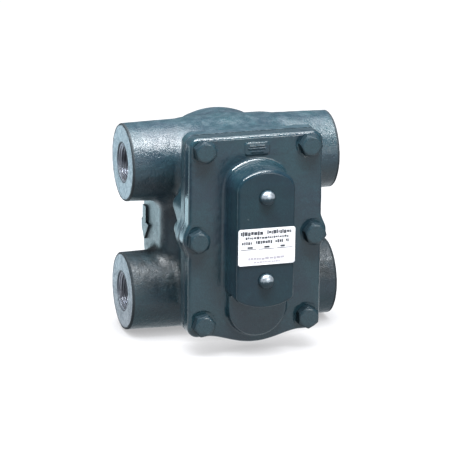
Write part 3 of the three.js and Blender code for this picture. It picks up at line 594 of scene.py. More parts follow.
def lever_sdf(x, y, z):
    ax = np.abs(x)
    hub = np.hypot(y - PIVOT_Y, z - PIVOT_Z) - 5.2
    foot = np.hypot(y - PIVOT_Y, z - VALVE_Z + 1.2) - 4.6
    shin = poly2(y, z, [(PIVOT_Y - 5.0, PIVOT_Z), (PIVOT_Y - 4.6, VALVE_Z - 1.2), (PIVOT_Y + 4.6, VALVE_Z - 1.2), (PIVOT_Y + 5.0, PIVOT_Z)])
    arm = poly2(y, z, [(PIVOT_Y, PIVOT_Z + 5.2), (PIVOT_Y + 3.5, PIVOT_Z - 6.5), (FACE_Y - 5.6, FLOAT_Z - 6.2),
                       (FACE_Y - 3.4, FLOAT_Z - 6.2), (FACE_Y - 3.4, FLOAT_Z + 6.2), (FACE_Y - 5.6, FLOAT_Z + 6.2)])
    side = smin(smin(hub, foot, 0.5), shin, 1.0)
    side = smin(side, arm, 2.0)
    d = smax(side, slab(ax, 5.0, 7.0), 0.3)
    cross = smax(rect2(x, z, -7.0, 7.0, FLOAT_Z - 6.2, FLOAT_Z + 6.2, 0.4), slab(y, FACE_Y - 5.6, FACE_Y - 3.4), 0.3)
    d = smin(d, cross, 1.2)
    hole = np.hypot(y - PIVOT_Y, z - PIVOT_Z) - 1.85
    slot = rect2(y, z, PIVOT_Y - 1.9, PIVOT_Y + 1.9, VALVE_Z - 2.7, VALVE_Z + 1.9, 1.89)
    d = cut(d, np.minimum(hole, slot), 0.15)
    stud = np.maximum(np.hypot(x, z - FLOAT_Z) - 2.9, slab(y, FACE_Y - 8, FACE_Y))
    return cut(d, stud, 0.15)


def stud_sdf(x, y, z):
    z = z - FLOAT_Z
    rad = np.hypot(x, z)
    boss = smax(rad - 4.6, slab(y, FACE_Y - 3.1, FACE_Y + 2.0), 0.5)
    t = FACE_Y - 3.1 - y
    fade = np.clip((t - 0.3) / 0.8, 0, 1) * np.clip((7.9 - t) / 0.8, 0, 1)
    screw = thread_r(rad, np.arctan2(z, x), y, 0.8, 2.5, 0.42 * fade) * 0.8
    screw = smax(screw, slab(y, FACE_Y - 11.0, FACE_Y - 2.0), 0.3)
    return cut(smin(boss, screw, 0.3), rad - 0.8, 0.1)


def nut_sdf(x, y, z):
    z = z - FLOAT_Z
    y0, y1 = FACE_Y - 9.6, FACE_Y - 5.9
    rad = np.hypot(x, z)
    d = smax(hex2(x, z, 7.9), slab(y, y0, y1), 0.15)
    for s, e in ((1, y1), (-1, -y0)):
        d = smax(d, (rad - 4.15) * 0.5 + (s * y - e) * 0.866, 0.15)
    screw = thread_r(rad, np.arctan2(z, x), y, 0.8, 2.85, -0.32)
    return cut(d, screw * 0.8, 0.05)


def bracket_sdf(x, y, z):
    y0 = COVER_BACK + GAP
    y1 = y0 + 2.2
    base = smax(rect2(x, z, -17.5, 17.5, PIVOT_Z - 1.6, PIVOT_Z + 18.5, 2.5), slab(y, y0, y1), 0.3)
    ear = poly2(y, z, [(y0 + 0.2, PIVOT_Z - 1.6), (PIVOT_Y - 4, PIVOT_Z - 4.4), (PIVOT_Y, PIVOT_Z - 4.8), (PIVOT_Y + 2, PIVOT_Z),
                       (PIVOT_Y, PIVOT_Z + 4.8), (y0 + 0.2, PIVOT_Z + 8)])
    ear = smin(ear, np.hypot(y - PIVOT_Y, z - PIVOT_Z) - 4.8, 0.3)
    ear = smax(ear, slab(np.abs(x), 8.2, 10.2), 0.3)
    d = smin(base, ear, 1.0)
    d = np.maximum(d, y0 - y)
    holes = np.hypot(np.abs(x) - 12.5, z - 9.5) - 2.5
    pin = np.maximum(np.hypot(y - PIVOT_Y, z - PIVOT_Z) - 1.85, slab(np.abs(x), 7.0, 11.5))
    return cut(d, np.minimum(holes, pin), 0.2)


def bracket_screw_sdf(x, y, z):
    rad = np.hypot(x, z)
    head = smax(rad - 3.7, slab(y, 0.0, 2.8), 0.2)
    head = smax(head, np.sqrt(rad * rad + (y + 4.2) ** 2) - 7.0, 0.2)
    head = cut(head, boxd(x, y, z, -5, 5, 1.7, 4.5, -0.55, 0.55, 0.1), 0.1)
    shank = thread_r(rad, np.arctan2(z, x), y, 0.7, 2.0, 0.38 * np.clip((-y - 0.4) / 0.6, 0, 1)) * 0.8
    shank = smax(shank, slab(y, -6.2, 0.5), 0.2)
    return smin(head, shank, 0.15)


def pivot_pin_sdf(x, y, z):
    rad = np.hypot(y - PIVOT_Y, z - PIVOT_Z)
    d = smax(rad - 1.5, slab(x, -11.2, 13.4), 0.3)
    head = smax(rad - 2.9, slab(x, -12.4, -10.65), 0.4)
    d = smin(d, head, 0.15)
    groove = np.maximum(1.05 - rad, slab(x, 11.0, 12.0))
    return cut(d, groove, 0.05)


def pivot_clip_sdf(x, y, z):
    y, z = y - PIVOT_Y, z - PIVOT_Z
    rad = np.hypot(y, z)
    d = smax(np.maximum(rad - 3.6, 1.35 - rad), slab(x, 11.25, 11.75), 0.12)
    for a in (0.9, math.pi - 0.9, -math.pi / 2 + 0.0):
        d = cut(d, np.hypot(y - 2.9 * math.cos(a), z - 2.9 * math.sin(a)) - 0.45, 0.08) if a > 0 else d
    return cut(d, np.maximum(np.abs(y) - 0.95, z), 0.12)


def vent_seat_sdf(x, y, z):
    y, z = y - COVER_BACK, z - VENT_Z
    rad, ang = np.hypot(x, z), np.arctan2(z, x)
    d = smax(thread_r(rad, ang, y, 1.25, 5.8, 0.6) * 0.8, slab(y, -5.6, 2.3), 0.25)
    hx = smax(smax(hex2(x, z, 14.7), slab(y, 2.3, 6.2), 0.2), (rad - 7.7) * 0.5 + (y - 6.0) * 0.866, 0.2)
    d = np.minimum(d, hx)
    d = smin(d, turn(rad, y, [(-5, 5.9), (4.9, 5.9), (4.15, 7.5), (-5, 7.5)]), 0.3)
    return cut(d, bore(rad, y, [(-6.5, 3.8), (1.5, 3.8), (3.0, 2.2), (8.4, 2.2)]), 0.1)


def cage_sdf(x, y, z):
    y, z = y - COVER_BACK, z - VENT_Z
    rad = np.hypot(x, z)
    disc = turn(rad, y, [(6.35, GAP + 0.15), (18.85, GAP + 0.15), (18.85, 1.65), (6.35, 1.65)], 0.15)
    ring = turn(rad, y, [(17.55, 0.75), (18.85, 0.75), (18.85, 22.45), (17.55, 22.45)], 0.15)
    d = smin(disc, ring, 0.8)
    win = rect2(np.minimum(np.abs(x), np.abs(z)), y, -9.5, 9.5, 3.4, 13.0, 1.6)
    d = cut(d, np.maximum(win, 12.0 - rad), 0.2)
    ledge = turn(rad, y, [(16.2, 14.5), (17.7, 14.5), (17.7, 15.7), (16.2, 15.7)], 0.1)
    return smin(d, ledge, 0.3)


def vent_valve_sdf(x, y, z):
    y, z = y - COVER_BACK, z - VENT_Z
    return turn(np.hypot(x, z), y, [(-5, 9.7), (2.95, 9.7), (3.3, 10.05), (3.3, 11.5), (2.1, 12.15), (2.1, 13.95), (4.5, 14.3),
                                    (4.5, 14.7), (-5, 14.7)], 0.1)


def clip_sdf(x, y, z):
    y, z = y - COVER_BACK, z - VENT_Z
    rad = np.hypot(x, z)
    d = np.hypot(rad - 16.1, y - 18.25) - 0.62
    d = np.where(rad < 10, 5.0, d)
    d = cut(d, np.maximum(np.abs(x) - 3.0, z), 0.3)
    for s in (-1, 1):
        tip = np.sqrt((x - s * 3.3) ** 2 + (y - 18.25) ** 2 + (z + 15.7) ** 2) - 0.75
        d = smin(d, tip, 0.4)
    return d


def label_sdf(x, y, z):
    y0 = CH_FRONT - GAP
    d = smax(rect2(x, z, -LABEL["half"], LABEL["half"], LABEL["bottom"], LABEL["top"], LABEL["corner"]),
             slab(y, y0 - LABEL["thick"] + 0.06, y0), 0.12)
    return d


def port_thread_sdf(x, y, z):
    """Lining of one port with its tapering inside thread; x is the depth from the port face."""
    rad, ang = np.hypot(y, z), np.arctan2(z, y)
    crest = 12.25 - 0.03125 * (x - 1.0)
    w = (x / 1.814 - ang / (2 * math.pi)) % 1.0
    tri = np.clip(np.abs(w - 0.5) * 2.0 * 1.12 - 0.06, 0, 1)
    fade = np.clip((20.5 - x) / 3.0, 0, 1)
    hole = (rad - (crest + 1.0 * tri * fade)) * 0.8
    mouth = (rad - (13.75 - (x - 0.6) * 1.0)) * 0.707
    hole = np.minimum(hole, mouth)
    back = (rad - (11.4 + (x - 21.5) * 0.6)) * 0.8
    hole = np.minimum(hole, np.where(x > 21.0, back, 50.0))
    d = np.maximum(np.maximum(rad - 14.2, slab(x, 0.45, 23.5)), -hole)
    return d


# ------------------------------------------------------------------ build
def part(f, lo, hi, h):
    """Faces of one distance function, ready to be joined with others."""
    v, q = contour(f, lo, hi, np.array([h, h, h] if np.isscalar(h) else h, float) * (1.9 if QUICK else 1.0))
    return v, q, smooth_normals(f, v, q)


def revolve(points, axis="y", centre=(0, 0, 0), segments=96):
    """Faces of a closed (radius, station) profile turned about an axis, with corner normals."""
    if QUICK:
        segments //= 2
    prof = np.array(points, float)
    n = len(prof)
    closed = prof[0, 0] > 1e-9
    ang = np.arange(segments) * 2 * math.pi / segments
    c, s = np.cos(ang), np.sin(ang)
    verts = np.stack([np.outer(prof[:, 0], c), np.repeat(prof[:, 1:2], segments, 1), np.outer(prof[:, 0], s)], 2).reshape(-1, 3)
    rows = range(n if closed else n - 1)
    area = sum(prof[i, 0] * prof[(i + 1) % n, 1] - prof[(i + 1) % n, 0] * prof[i, 1] for i in range(n))
    side = 1.0 if area > 0 else -1.0
    edge = np.roll(prof, -1, 0) - prof
    length = np.hypot(edge[:, 0], edge[:, 1]) + 1e-9
    en = side * np.stack([edge[:, 1], -edge[:, 0]], 1) / length[:, None]      # outward in (r, t)
    quads, normals = [], []
    i = np.arange(segments)
    j = (i + 1) % segments

    def at(k, e):
        """Normal at profile point k of edge e, smoothed with its neighbour unless the corner is sharp."""
        o = (k - 1) % n if e == k else k % n
        if not closed and (prof[k % n, 0] < 1e-9 or o >= n - 1 and not closed):
            return en[e]
        v = en[e] + en[o]
        return v / np.linalg.norm(v) if en[e] @ en[o] > 0.80 else en[e]

    for k in rows:
        k2 = (k + 1) % n
        q = np.stack([k * segments + i, k2 * segments + i, k2 * segments + j, k * segments + j], 1)
        na, nb = at(k, k), at(k2, k)
        nn = np.empty((segments, 4, 3))
        for col, (m, w) in enumerate(((na, i), (nb, i), (nb, j), (na, j))):
            nn[:, col, 0], nn[:, col, 1], nn[:, col, 2] = m[0] * c[w], m[1], m[0] * s[w]
        if side > 0:
            q, nn = q, nn
        else:
            q, nn = q[:, ::-1], nn[:, ::-1]
        quads.append(q)
        normals.append(nn)
    # outward winding is settled by the signed volume
    q, nn = np.concatenate(quads), np.concatenate(normals)
    a, b, cc, d = (verts[q[:, m]] for m in range(4))
    vol = (a * np.cross(b, cc)).sum() + (a * np.cross(cc, d)).sum()
    if vol < 0:
        q, nn = q[:, ::-1], nn[:, ::-1]
    # points on the axis become one vertex each
    same = np.arange(len(verts))
    for k in range(n):
        if prof[k, 0] < 1e-9:
            same[k * segments:(k + 1) * segments] = k * segments
    q = same[q]
    if axis == "x":
        verts, nn = verts[:, [1, 0, 2]] * [1, 1, -1], nn[:, :, [1, 0, 2]] * [1, 1, -1]
    return verts + np.array(centre, float), q, nn.reshape(-1, 3)


def make(name, parts, place=None, body="trap_body", nodes=None, slot=None, mats=(), box_node=True):
    """One named piece from lists of (verts, quads, corner normals). place is (location in drawing mm, turn about Y)."""
    verts, loops, totals, normals, slots = [], [], [], [], []
    base = 0
    for v, q, nn, *which in parts:
        nn = nn.reshape(len(q), 4, 3)
        uniq = np.stack([q[:, m] != q[:, (m + 1) % 4] for m in range(4)], 1)
        keep4 = uniq.all(1)
        for sel, k in ((keep4, 4), (~keep4 & (uniq.sum(1) == 3), 3)):
            qs, ns = q[sel], nn[sel]
            if not len(qs):
                continue
            if k == 3:
                cols = uniq[sel]
                order = np.argsort(~cols, axis=1, kind="stable")[:, :3]
                order.sort(1)
                qs = np.take_along_axis(qs, order, 1)
                ns = np.take_along_axis(ns, order[:, :, None], 1)
            loops.append((qs + base).ravel())
            totals.append(np.full(len(qs), k, np.int32))
            slots.append(np.full(len(qs), which[0] if which else 0, np.int32))
            normals.append(ns.reshape(-1, 3))
        verts.append(v)
        base += len(v)
    verts, loops = np.concatenate(verts), np.concatenate(loops)
    totals, normals, slots = np.concatenate(totals), np.concatenate(normals), np.concatenate(slots)
    used, inv = np.unique(loops, return_inverse=True)
    verts, loops = verts[used], inv
    if place is None:
        co = (verts + SHIFT) / 1000.0
        lo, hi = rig.box(nodes[0] if nodes else name)
        co = np.clip(co, np.array(lo), np.array(hi)) if box_node else co
    else:
        where, spin = place
        c, k = math.cos(spin), math.sin(spin)
        turned = np.array([[c, 0, k], [0, 1, 0], [-k, 0, c]])
        co = verts @ turned.T / 1000.0
        normals = normals @ turned.T
    me = bpy.data.meshes.new(name)
    me.vertices.add(len(co))
    me.vertices.foreach_set("co", co.astype(np.float32).ravel())
    me.loops.add(len(loops))
    me.loops.foreach_set("vertex_index", loops.astype(np.int32))
    me.polygons.add(len(totals))
    me.polygons.foreach_set("loop_start", np.concatenate([[0], np.cumsum(totals)[:-1]]).astype(np.int32))
    me.polygons.foreach_set("loop_total", totals)
    me.polygons.foreach_set("use_smooth", np.ones(len(totals), bool))
    for m in mats:
        me.materials.append(m)
    me.polygons.foreach_set("material_index", slots)
    me.update(calc_edges=True)
    me.validate()
    if len(me.loops) == len(normals):
        me.normals_split_custom_set(normals.astype(np.float32))
    ob = bpy.data.objects.new(name, me)
    bpy.context.scene.collection.objects.link(ob)
    if place is not None:
        ob.location = (np.array(where, float) + SHIFT) / 1000.0
        bpy.context.view_layer.update()
    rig.ride(ob, body)
    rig.replaces(ob, *(nodes or [name]))
    if slot:
        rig.slot(ob, slot)
    return ob


# ------------------------------------------------------------------ materials
class Shader:
    """A small helper for building node materials; every pattern is procedural and in object space."""

    def __init__(self, name):
        self.mat = bpy.data.materials.new(name)
        self.mat.use_nodes = True
        self.tree = self.mat.node_tree
        self.tree.nodes.clear()
        self.out = self.tree.nodes.new("ShaderNodeOutputMaterial")
        self.bsdf = self.tree.nodes.new("ShaderNodeBsdfPrincipled")
        self.tree.links.new(self.bsdf.outputs[0], self.out.inputs[0])
        self.coord = self.tree.nodes.new("ShaderNodeTexCoord").outputs["Object"]

    def node(self, kind, inputs=None, **props):
        n = self.tree.nodes.new(kind)
        for k, v in props.items():
            setattr(n, k, v)
        for k, v in (inputs or {}).items():
            if hasattr(v, "links"):
                self.tree.links.new(v, n.inputs[k])
            else:
                n.inputs[k].default_value = v
        return n

    def set(self, **values):
        for k, v in values.items():
            key = k.replace("_", " ").title().replace("Ior", "IOR")
            if hasattr(v, "links"):
                self.tree.links.new(v, self.bsdf.inputs[key])
            else:
                self.bsdf.inputs[key].default_value = v

    def noise(self, scale, detail=3.0, rough=0.55, stretch=None, offset=0.0, lac=2.0):
        vec = self.coord
        if stretch is not None or offset:
            vec = self.node("ShaderNodeMapping", {0: vec, 1: (offset, offset * 0.7, -offset), 3: stretch or (1, 1, 1)}).outputs[0]
        return self.node("ShaderNodeTexNoise", {"Vector": vec, "Scale": scale, "Detail": detail, "Roughness": rough,
                                                "Lacunarity": lac}).outputs[0]

    def voronoi(self, scale, feature="F1", rand=1.0):
        return self.node("ShaderNodeTexVoronoi", {"Vector": self.coord, "Scale": scale, "Randomness": rand}, feature=feature).outputs[0]

    def math(self, op, a, b=0.0, c=0.0, clamp=False):
        return self.node("ShaderNodeMath", {0: a, 1: b, 2: c}, operation=op, use_clamp=clamp).outputs[0]

    def span(self, v, a, b, lo=0.0, hi=1.0):
        """Maps v from a..b to lo..hi, clamped."""
        return self.node("ShaderNodeMapRange", {0: v, 1: a, 2: b, 3: lo, 4: hi}).outputs[0]

    def mix(self, fac, a, b):
        n = self.node("ShaderNodeMix", {0: fac}, data_type="RGBA")
        for i, v in ((6, a), (7, b)):
            if hasattr(v, "links"):
                self.tree.links.new(v, n.inputs[i])
            else:
                n.inputs[i].default_value = tuple(v) + ((1.0,) if len(v) == 3 else ())
        return n.outputs[2]

    def xyz(self):
        s = self.node("ShaderNodeSeparateXYZ", {0: self.coord})
        return s.outputs[0], s.outputs[1], s.outputs[2]

    def pointiness(self):
        return self.node("ShaderNodeNewGeometry").outputs["Pointiness"]

    def bump(self, height, dist=0.0001, strength=1.0, normal=None):
        inputs = {"Height": height, "Distance": dist, "Strength": strength}
        if normal is not None:
            inputs["Normal"] = normal
        return self.node("ShaderNodeBump", inputs).outputs[0]


PAINT_DARK, PAINT_LIGHT = (0.0095, 0.0200, 0.0300), (0.0100, 0.0300, 0.0375)


def plug_material():
    """Domed plug: polished crown; the underside is darkened as painted shade."""
    s = Shader("plug_crown")
    nz = s.node("ShaderNodeSeparateXYZ", {0: s.node("ShaderNodeNewGeometry").outputs["Normal"]}).outputs[2]
    wob = s.math("MULTIPLY", s.math("SUBTRACT", s.noise(900.0, 4.0, 0.7), 0.5), 0.5)
    ny = s.node("ShaderNodeSeparateXYZ", {0: s.node("ShaderNodeNewGeometry").outputs["Normal"]}).outputs[1]
    bare = s.math("MULTIPLY", s.span(s.math("ADD", nz, wob), 0.0, 0.26), s.span(s.math("ADD", ny, s.math("MULTIPLY", wob, 0.5)), -0.45, -0.78))
    mid = s.noise(500.0, 5.0, 0.65, offset=2.0)
    tone = s.mix(s.span(mid, 0.35, 0.7), (0.44, 0.48, 0.52), (0.24, 0.28, 0.32))
    # painted shade: where the dome turns downwards or away from the front, its colour is dark
    s.set(base_color=s.mix(bare, (0.012, 0.024, 0.032), tone), metallic=s.math("MULTIPLY", bare, 0.95),
          roughness=s.span(mid, 0.3, 0.7, 0.32, 0.46), specular_ior_level=s.span(bare, 0.0, 1.0, 0.2, 0.5),
          normal=s.bump(s.math("ADD", mid, s.math("MULTIPLY", s.noise(1600.0, 3.0, 0.6), 0.4)), 0.00012, 1.0))
    return s.mat


def paint_material(name, dark, light, grain=1.0, machined=False, gloss=(0.26, 0.40), shaded_flanks=False, metal=0.0, spec=0.42):
    """Gloss enamel brushed over a sand casting, with painted shade and painted highlight mixed into its colour."""
    s = Shader(name)
    broad = s.noise(38.0, 4.0, 0.6)
    mid = s.noise(240.0, 5.0, 0.6, offset=0.3)
    fine = s.noise(1150.0, 3.0, 0.6, offset=1.1)
    pits = s.span(s.voronoi(620.0), 0.05, 0.42)
    lumps = s.noise(95.0, 3.0, 0.5, offset=2.3)
    colour = s.mix(s.span(broad, 0.35, 0.68), dark, light)
    colour = s.mix(s.math("MULTIPLY", s.span(mid, 0.52, 0.72), 0.35), colour, tuple(c * 1.55 for c in light))
    colour = s.mix(s.math("MULTIPLY", s.span(fine, 0.56, 0.44), 0.35), colour, tuple(c * 0.5 for c in dark))
    # settled dust on surfaces that face up
    up = s.node("ShaderNodeSeparateXYZ", {0: s.node("ShaderNodeNewGeometry").outputs["Normal"]}).outputs[2]
    dust = s.math("MULTIPLY", s.span(up, 0.45, 1.0), s.span(s.noise(160.0, 5.0, 0.65, offset=4.0), 0.42, 0.7))
    colour = s.mix(s.math("MULTIPLY", dust, 0.07), colour, (0.22, 0.27, 0.30))
    # sharp edges lightened, partly as worn thin paint and partly as a painted highlight
    edge = s.span(s.pointiness(), 0.53, 0.60)
    worn_edge_highlight = s.math("MULTIPLY", edge, s.span(s.noise(420.0, 4.0, 0.7, offset=6.0), 0.50, 0.62))
    colour = s.mix(s.math("MULTIPLY", worn_edge_highlight, 0.55), colour, (0.23, 0.26, 0.28))
    # painted shade: creases and hollows (low pointiness) are darkened and given less specular
    crevice_shade = s.span(s.pointiness(), 0.485, 0.43)
    colour = s.mix(s.math("MULTIPLY", crevice_shade, 0.75), colour, (0.003, 0.008, 0.011))
    rough = s.span(mid, 0.3, 0.7, *gloss)
    rough = s.math("ADD", rough, s.math("MULTIPLY", dust, 0.10))
    spec = s.span(crevice_shade, 0.0, 1.0, spec, spec * 0.3)
    height = s.math("ADD", s.math("MULTIPLY", mid, 0.9), s.math("MULTIPLY", fine, 0.55))
    height = s.math("ADD", height, s.math("MULTIPLY", pits, 0.30))
    height = s.math("ADD", height, s.math("MULTIPLY", s.span(s.voronoi(210.0), 0.02, 0.20), 0.45))
    height = s.math("ADD", height, s.math("MULTIPLY", lumps, 1.6))
    strength = grain
    if shaded_flanks:
        # painted shade: the flanks of a hexagon head are darkened and given duller, rougher paint
        ny = s.node("ShaderNodeSeparateXYZ", {0: s.node("ShaderNodeNewGeometry").outputs["Normal"]}).outputs[1]
        flank_shade = s.math("MULTIPLY", s.span(s.math("ABSOLUTE", ny), 0.72, 0.93, 1.0, 0.0), 1.0)
        colour = s.mix(s.math("MULTIPLY", flank_shade, 0.8), colour, (0.004, 0.010, 0.014))
        rough = s.math("ADD", rough, s.math("MULTIPLY", flank_shade, 0.35))
        spec = s.span(flank_shade, 0.0, 1.0, spec, 0.12)
    if not machined and not shaded_flanks:
        # painted shade: surfaces that face up are darkened
        colour = s.mix(s.math("MULTIPLY", s.span(up, 0.4, 0.95), 0.55), colour, (0.003, 0.009, 0.012))
        # painted shade: the front of the raised channel is darkened and its specular lowered
        near = s.span(s.xyz()[1], (SHIFT[1] - 84.0) / 1000.0, (SHIFT[1] - 91.0) / 1000.0)
        colour = s.mix(s.math("MULTIPLY", near, 0.45), colour, (0.003, 0.012, 0.018))
        spec = s.math("MULTIPLY", spec, s.span(near, 0.0, 1.0, 1.0, 0.62))
    if machined:
        x, y, z = s.xyz()
        ax = s.math("ABSOLUTE", x)
        az = s.math("SUBTRACT", s.math("ABSOLUTE", s.math("SUBTRACT", z, SHIFT[2] / 1000.0)), PORT_Z / 1000.0)
        ay = s.math("SUBTRACT", y, SHIFT[1] / 1000.0)
        rad = s.math("SQRT", s.math("ADD", s.math("MULTIPLY", ay, ay), s.math("MULTIPLY", az, az)))
        face = s.span(ax, (FACE - 0.45) / 1000.0, (FACE - 0.2) / 1000.0)
        hole = s.math("MULTIPLY", s.span(rad, 0.0149, 0.0144), s.span(ax, 0.051, 0.0515))
        ragged = s.math("MULTIPLY", s.span(s.noise(900.0, 3.0, 0.6, offset=9.0), 0.35, 0.6), s.span(rad, 0.0268, 0.0258, 0.0, 1.0))
        bare = s.math("MAXIMUM", s.math("MULTIPLY", face, s.math("MAXIMUM", ragged, s.span(rad, 0.0262, 0.0254))), hole)
        rings = s.math("SINE", s.math("MULTIPLY", rad, 2 * math.pi / 0.00042))
        iron = s.mix(s.span(s.noise(330.0, 5.0, 0.7, offset=3.0), 0.36, 0.64), (0.055, 0.075, 0.100), (0.21, 0.24, 0.27))
        iron = s.mix(s.math("MULTIPLY", s.span(s.noise(150.0, 4.0, 0.75, offset=5.0), 0.52, 0.68), 0.6), iron, (0.03, 0.045, 0.06))
        iron = s.mix(s.math("MULTIPLY", s.span(s.noise(800.0, 3.0, 0.7, offset=8.0), 0.58, 0.66), 0.5), iron, (0.30, 0.33, 0.36))
        iron = s.mix(s.math("MULTIPLY", hole, 0.55), iron, (0.10, 0.11, 0.13))
        # painted shade: on the lower half, surfaces that face up or sideways are darkened in mottled patches, with
        # rougher paint
        lower = s.math("MULTIPLY", s.span(z, 0.066, 0.060), s.span(up, -0.1, 0.35))
        colour = s.mix(s.math("MULTIPLY", lower, s.span(s.noise(210.0, 5.0, 0.7, offset=12.0), 0.35, 0.62, 0.35, 0.9)), colour, (0.004, 0.008, 0.010))
        rough = s.math("ADD", rough, s.math("MULTIPLY", lower, s.span(s.noise(420.0, 4.0, 0.7, offset=13.0), 0.35, 0.62, 0.02, 0.26)))
        colour = s.mix(bare, colour, iron)
        under = s.math("MULTIPLY", s.span(up, -0.10, -0.60), s.span(z, 0.040, 0.028))
        spec = s.math("MULTIPLY", spec, s.span(under, 0.0, 1.0, 1.0, 0.45))
        wob = s.math("MULTIPLY", s.math("SUBTRACT", s.noise(260.0, 4.0, 0.7, offset=11.0), 0.5), 0.0016)
        # painted shade: a dark, rougher ring round the chamfer of each port face and at the lip of its bore
        rim = s.math("MULTIPLY", s.span(s.math("ADD", rad, wob), 0.0253, 0.0259), s.span(ax, (FACE - 1.9) / 1000.0, (FACE - 1.3) / 1000.0))
        lip = s.math("MULTIPLY", face, s.span(s.math("ADD", rad, s.math("MULTIPLY", wob, 0.6)), 0.0147, 0.0141))
        rim = s.math("MAXIMUM", rim, s.math("MULTIPLY", lip, 0.7))
        colour = s.mix(s.math("MULTIPLY", rim, 0.9), colour, (0.004, 0.008, 0.011))
        rough = s.math("ADD", s.math("MULTIPLY", rough, s.math("SUBTRACT", 1.0, bare)),
                       s.math("MULTIPLY", bare, s.span(s.noise(500.0, 3.0, 0.6), 0.3, 0.7, 0.30, 0.48)))
        rough = s.math("ADD", rough, s.math("MULTIPLY", rim, 0.4))
        metal = s.math("MULTIPLY", bare, 0.25)
        height = s.math("ADD", s.math("MULTIPLY", height, s.span(bare, 0.0, 1.0, 1.0, 0.3)),
                        s.math("MULTIPLY", s.math("MULTIPLY", rings, bare), 0.10))
    s.set(base_color=colour, roughness=rough, metallic=metal, normal=s.bump(height, 0.00022 * strength, 1.0),
          specular_ior_level=spec)
    return s.mat


def metal_material(name, tone, tint=None, rough=(0.22, 0.38), lathe=None, scratch=1.0, metallic=1.0, stain=None):
    """Drawn or machined metal. lathe = (axis, centre y, centre z) adds turning marks round that axis."""
    s = Shader(name)
    cloud = s.noise(120.0, 4.0, 0.6)
    speck = s.noise(1600.0, 2.0, 0.5, offset=0.7)
    drawn = s.noise(700.0, 4.0, 0.6, stretch=(0.06, 1.0, 1.0))
    colour = s.mix(s.span(cloud, 0.3, 0.7), tone, tint or tuple(c * 0.78 for c in tone))
    colour = s.mix(s.math("MULTIPLY", s.span(speck, 0.58, 0.7), 0.3), colour, tuple(c * 0.55 for c in tone))
    if stain:
        colour = s.mix(s.math("MULTIPLY", s.span(s.noise(60.0, 5.0, 0.65, offset=2.2), 0.5, 0.7), 0.5), colour, stain)
    height = s.math("MULTIPLY", drawn, 0.5 * scratch)
    if lathe:
        axis, c1, c2 = lathe
        x, y, z = s.xyz()
        u, v = (y, z) if axis == "x" else (x, z)
        w = x if axis == "x" else y
        du, dv = s.math("SUBTRACT", u, c1), s.math("SUBTRACT", v, c2)
        rad = s.math("SQRT", s.math("ADD", s.math("MULTIPLY", du, du), s.math("MULTIPLY", dv, dv)))
        turned = s.math("SINE", s.math("MULTIPLY", s.math("ADD", rad, w), 2 * math.pi / 0.00030))
        height = s.math("ADD", height, s.math("MULTIPLY", turned, 0.25 * scratch))
    height = s.math("ADD", height, s.math("MULTIPLY", speck, 0.25))
    r = s.span(s.noise(260.0, 5.0, 0.65, offset=1.5), 0.3, 0.7, rough[0], rough[1])
    s.set(base_color=colour, metallic=metallic, roughness=r, normal=s.bump(height, 0.00004, 1.0))
    return s.mat


def gasket_material():
    s = Shader("graphite_sheet")
    fibre = s.noise(900.0, 5.0, 0.7, stretch=(1.0, 0.2, 1.0))
    flake = s.voronoi(1400.0)
    colour = s.mix(s.span(fibre, 0.35, 0.65), (0.022, 0.022, 0.024), (0.075, 0.075, 0.08))
    colour = s.mix(s.math("MULTIPLY", s.span(flake, 0.1, 0.3, 1.0, 0.0), 0.5), colour, (0.16, 0.16, 0.17))
    ny = s.node("ShaderNodeSeparateXYZ", {0: s.node("ShaderNodeNewGeometry").outputs["Normal"]}).outputs[1]
    rim = s.span(s.math("ABSOLUTE", ny), 0.5, 0.7, 1.0, 0.0)
    rim = s.math("MULTIPLY", rim, s.span(s.noise(500.0, 4.0, 0.6, offset=2.0), 0.25, 0.4))
    colour = s.mix(rim, colour, PAINT_DARK)
    s.set(base_color=colour, roughness=s.span(flake, 0.1, 0.5, 0.35, 0.7),
          normal=s.bump(s.math("ADD", fibre, flake), 0.00008, 1.0))
    return s.mat


def label_material():
    s = Shader("label_film")
    cloud = s.noise(90.0, 4.0, 0.6)
    weave = s.noise(2600.0, 2.0, 0.5)
    colour = s.mix(s.span(cloud, 0.35, 0.7), (0.66, 0.65, 0.665), (0.59, 0.585, 0.60))
    colour = s.mix(s.math("MULTIPLY", s.span(s.noise(420.0, 5.0, 0.7, offset=3.0), 0.6, 0.75), 0.25), colour, (0.45, 0.47, 0.52))
    x, y, z = s.xyz()
    dx = s.span(s.math("ABSOLUTE", x), 0.0185, 0.0199)
    dz = s.span(s.math("ABSOLUTE", s.math("SUBTRACT", z, (SHIFT[2] + 6.7) / 1000.0)), 0.0112, 0.0126)
    grime = s.math("MULTIPLY", s.math("MAXIMUM", dx, dz), s.span(s.noise(300.0, 5.0, 0.7), 0.4, 0.65))
    colour = s.mix(s.math("MULTIPLY", grime, 0.35), colour, (0.30, 0.33, 0.37))
    s.set(base_color=colour, roughness=s.span(cloud, 0.3, 0.7, 0.28, 0.42),
          normal=s.bump(s.math("ADD", s.math("MULTIPLY", weave, 0.3), cloud), 0.00006, 1.0), coat_weight=0.25, coat_roughness=0.15)
    return s.mat


def ink_material(name, tone):
    s = Shader(name)
    n = s.noise(1800.0, 4.0, 0.7)
    colour = s.mix(s.span(n, 0.55, 0.75), tone, tuple(0.5 * c + 0.3 for c in tone))
    s.set(base_color=colour, roughness=s.span(n, 0.3, 0.7, 0.35, 0.55), normal=s.bump(n, 0.00003, 1.0))
    return s.mat


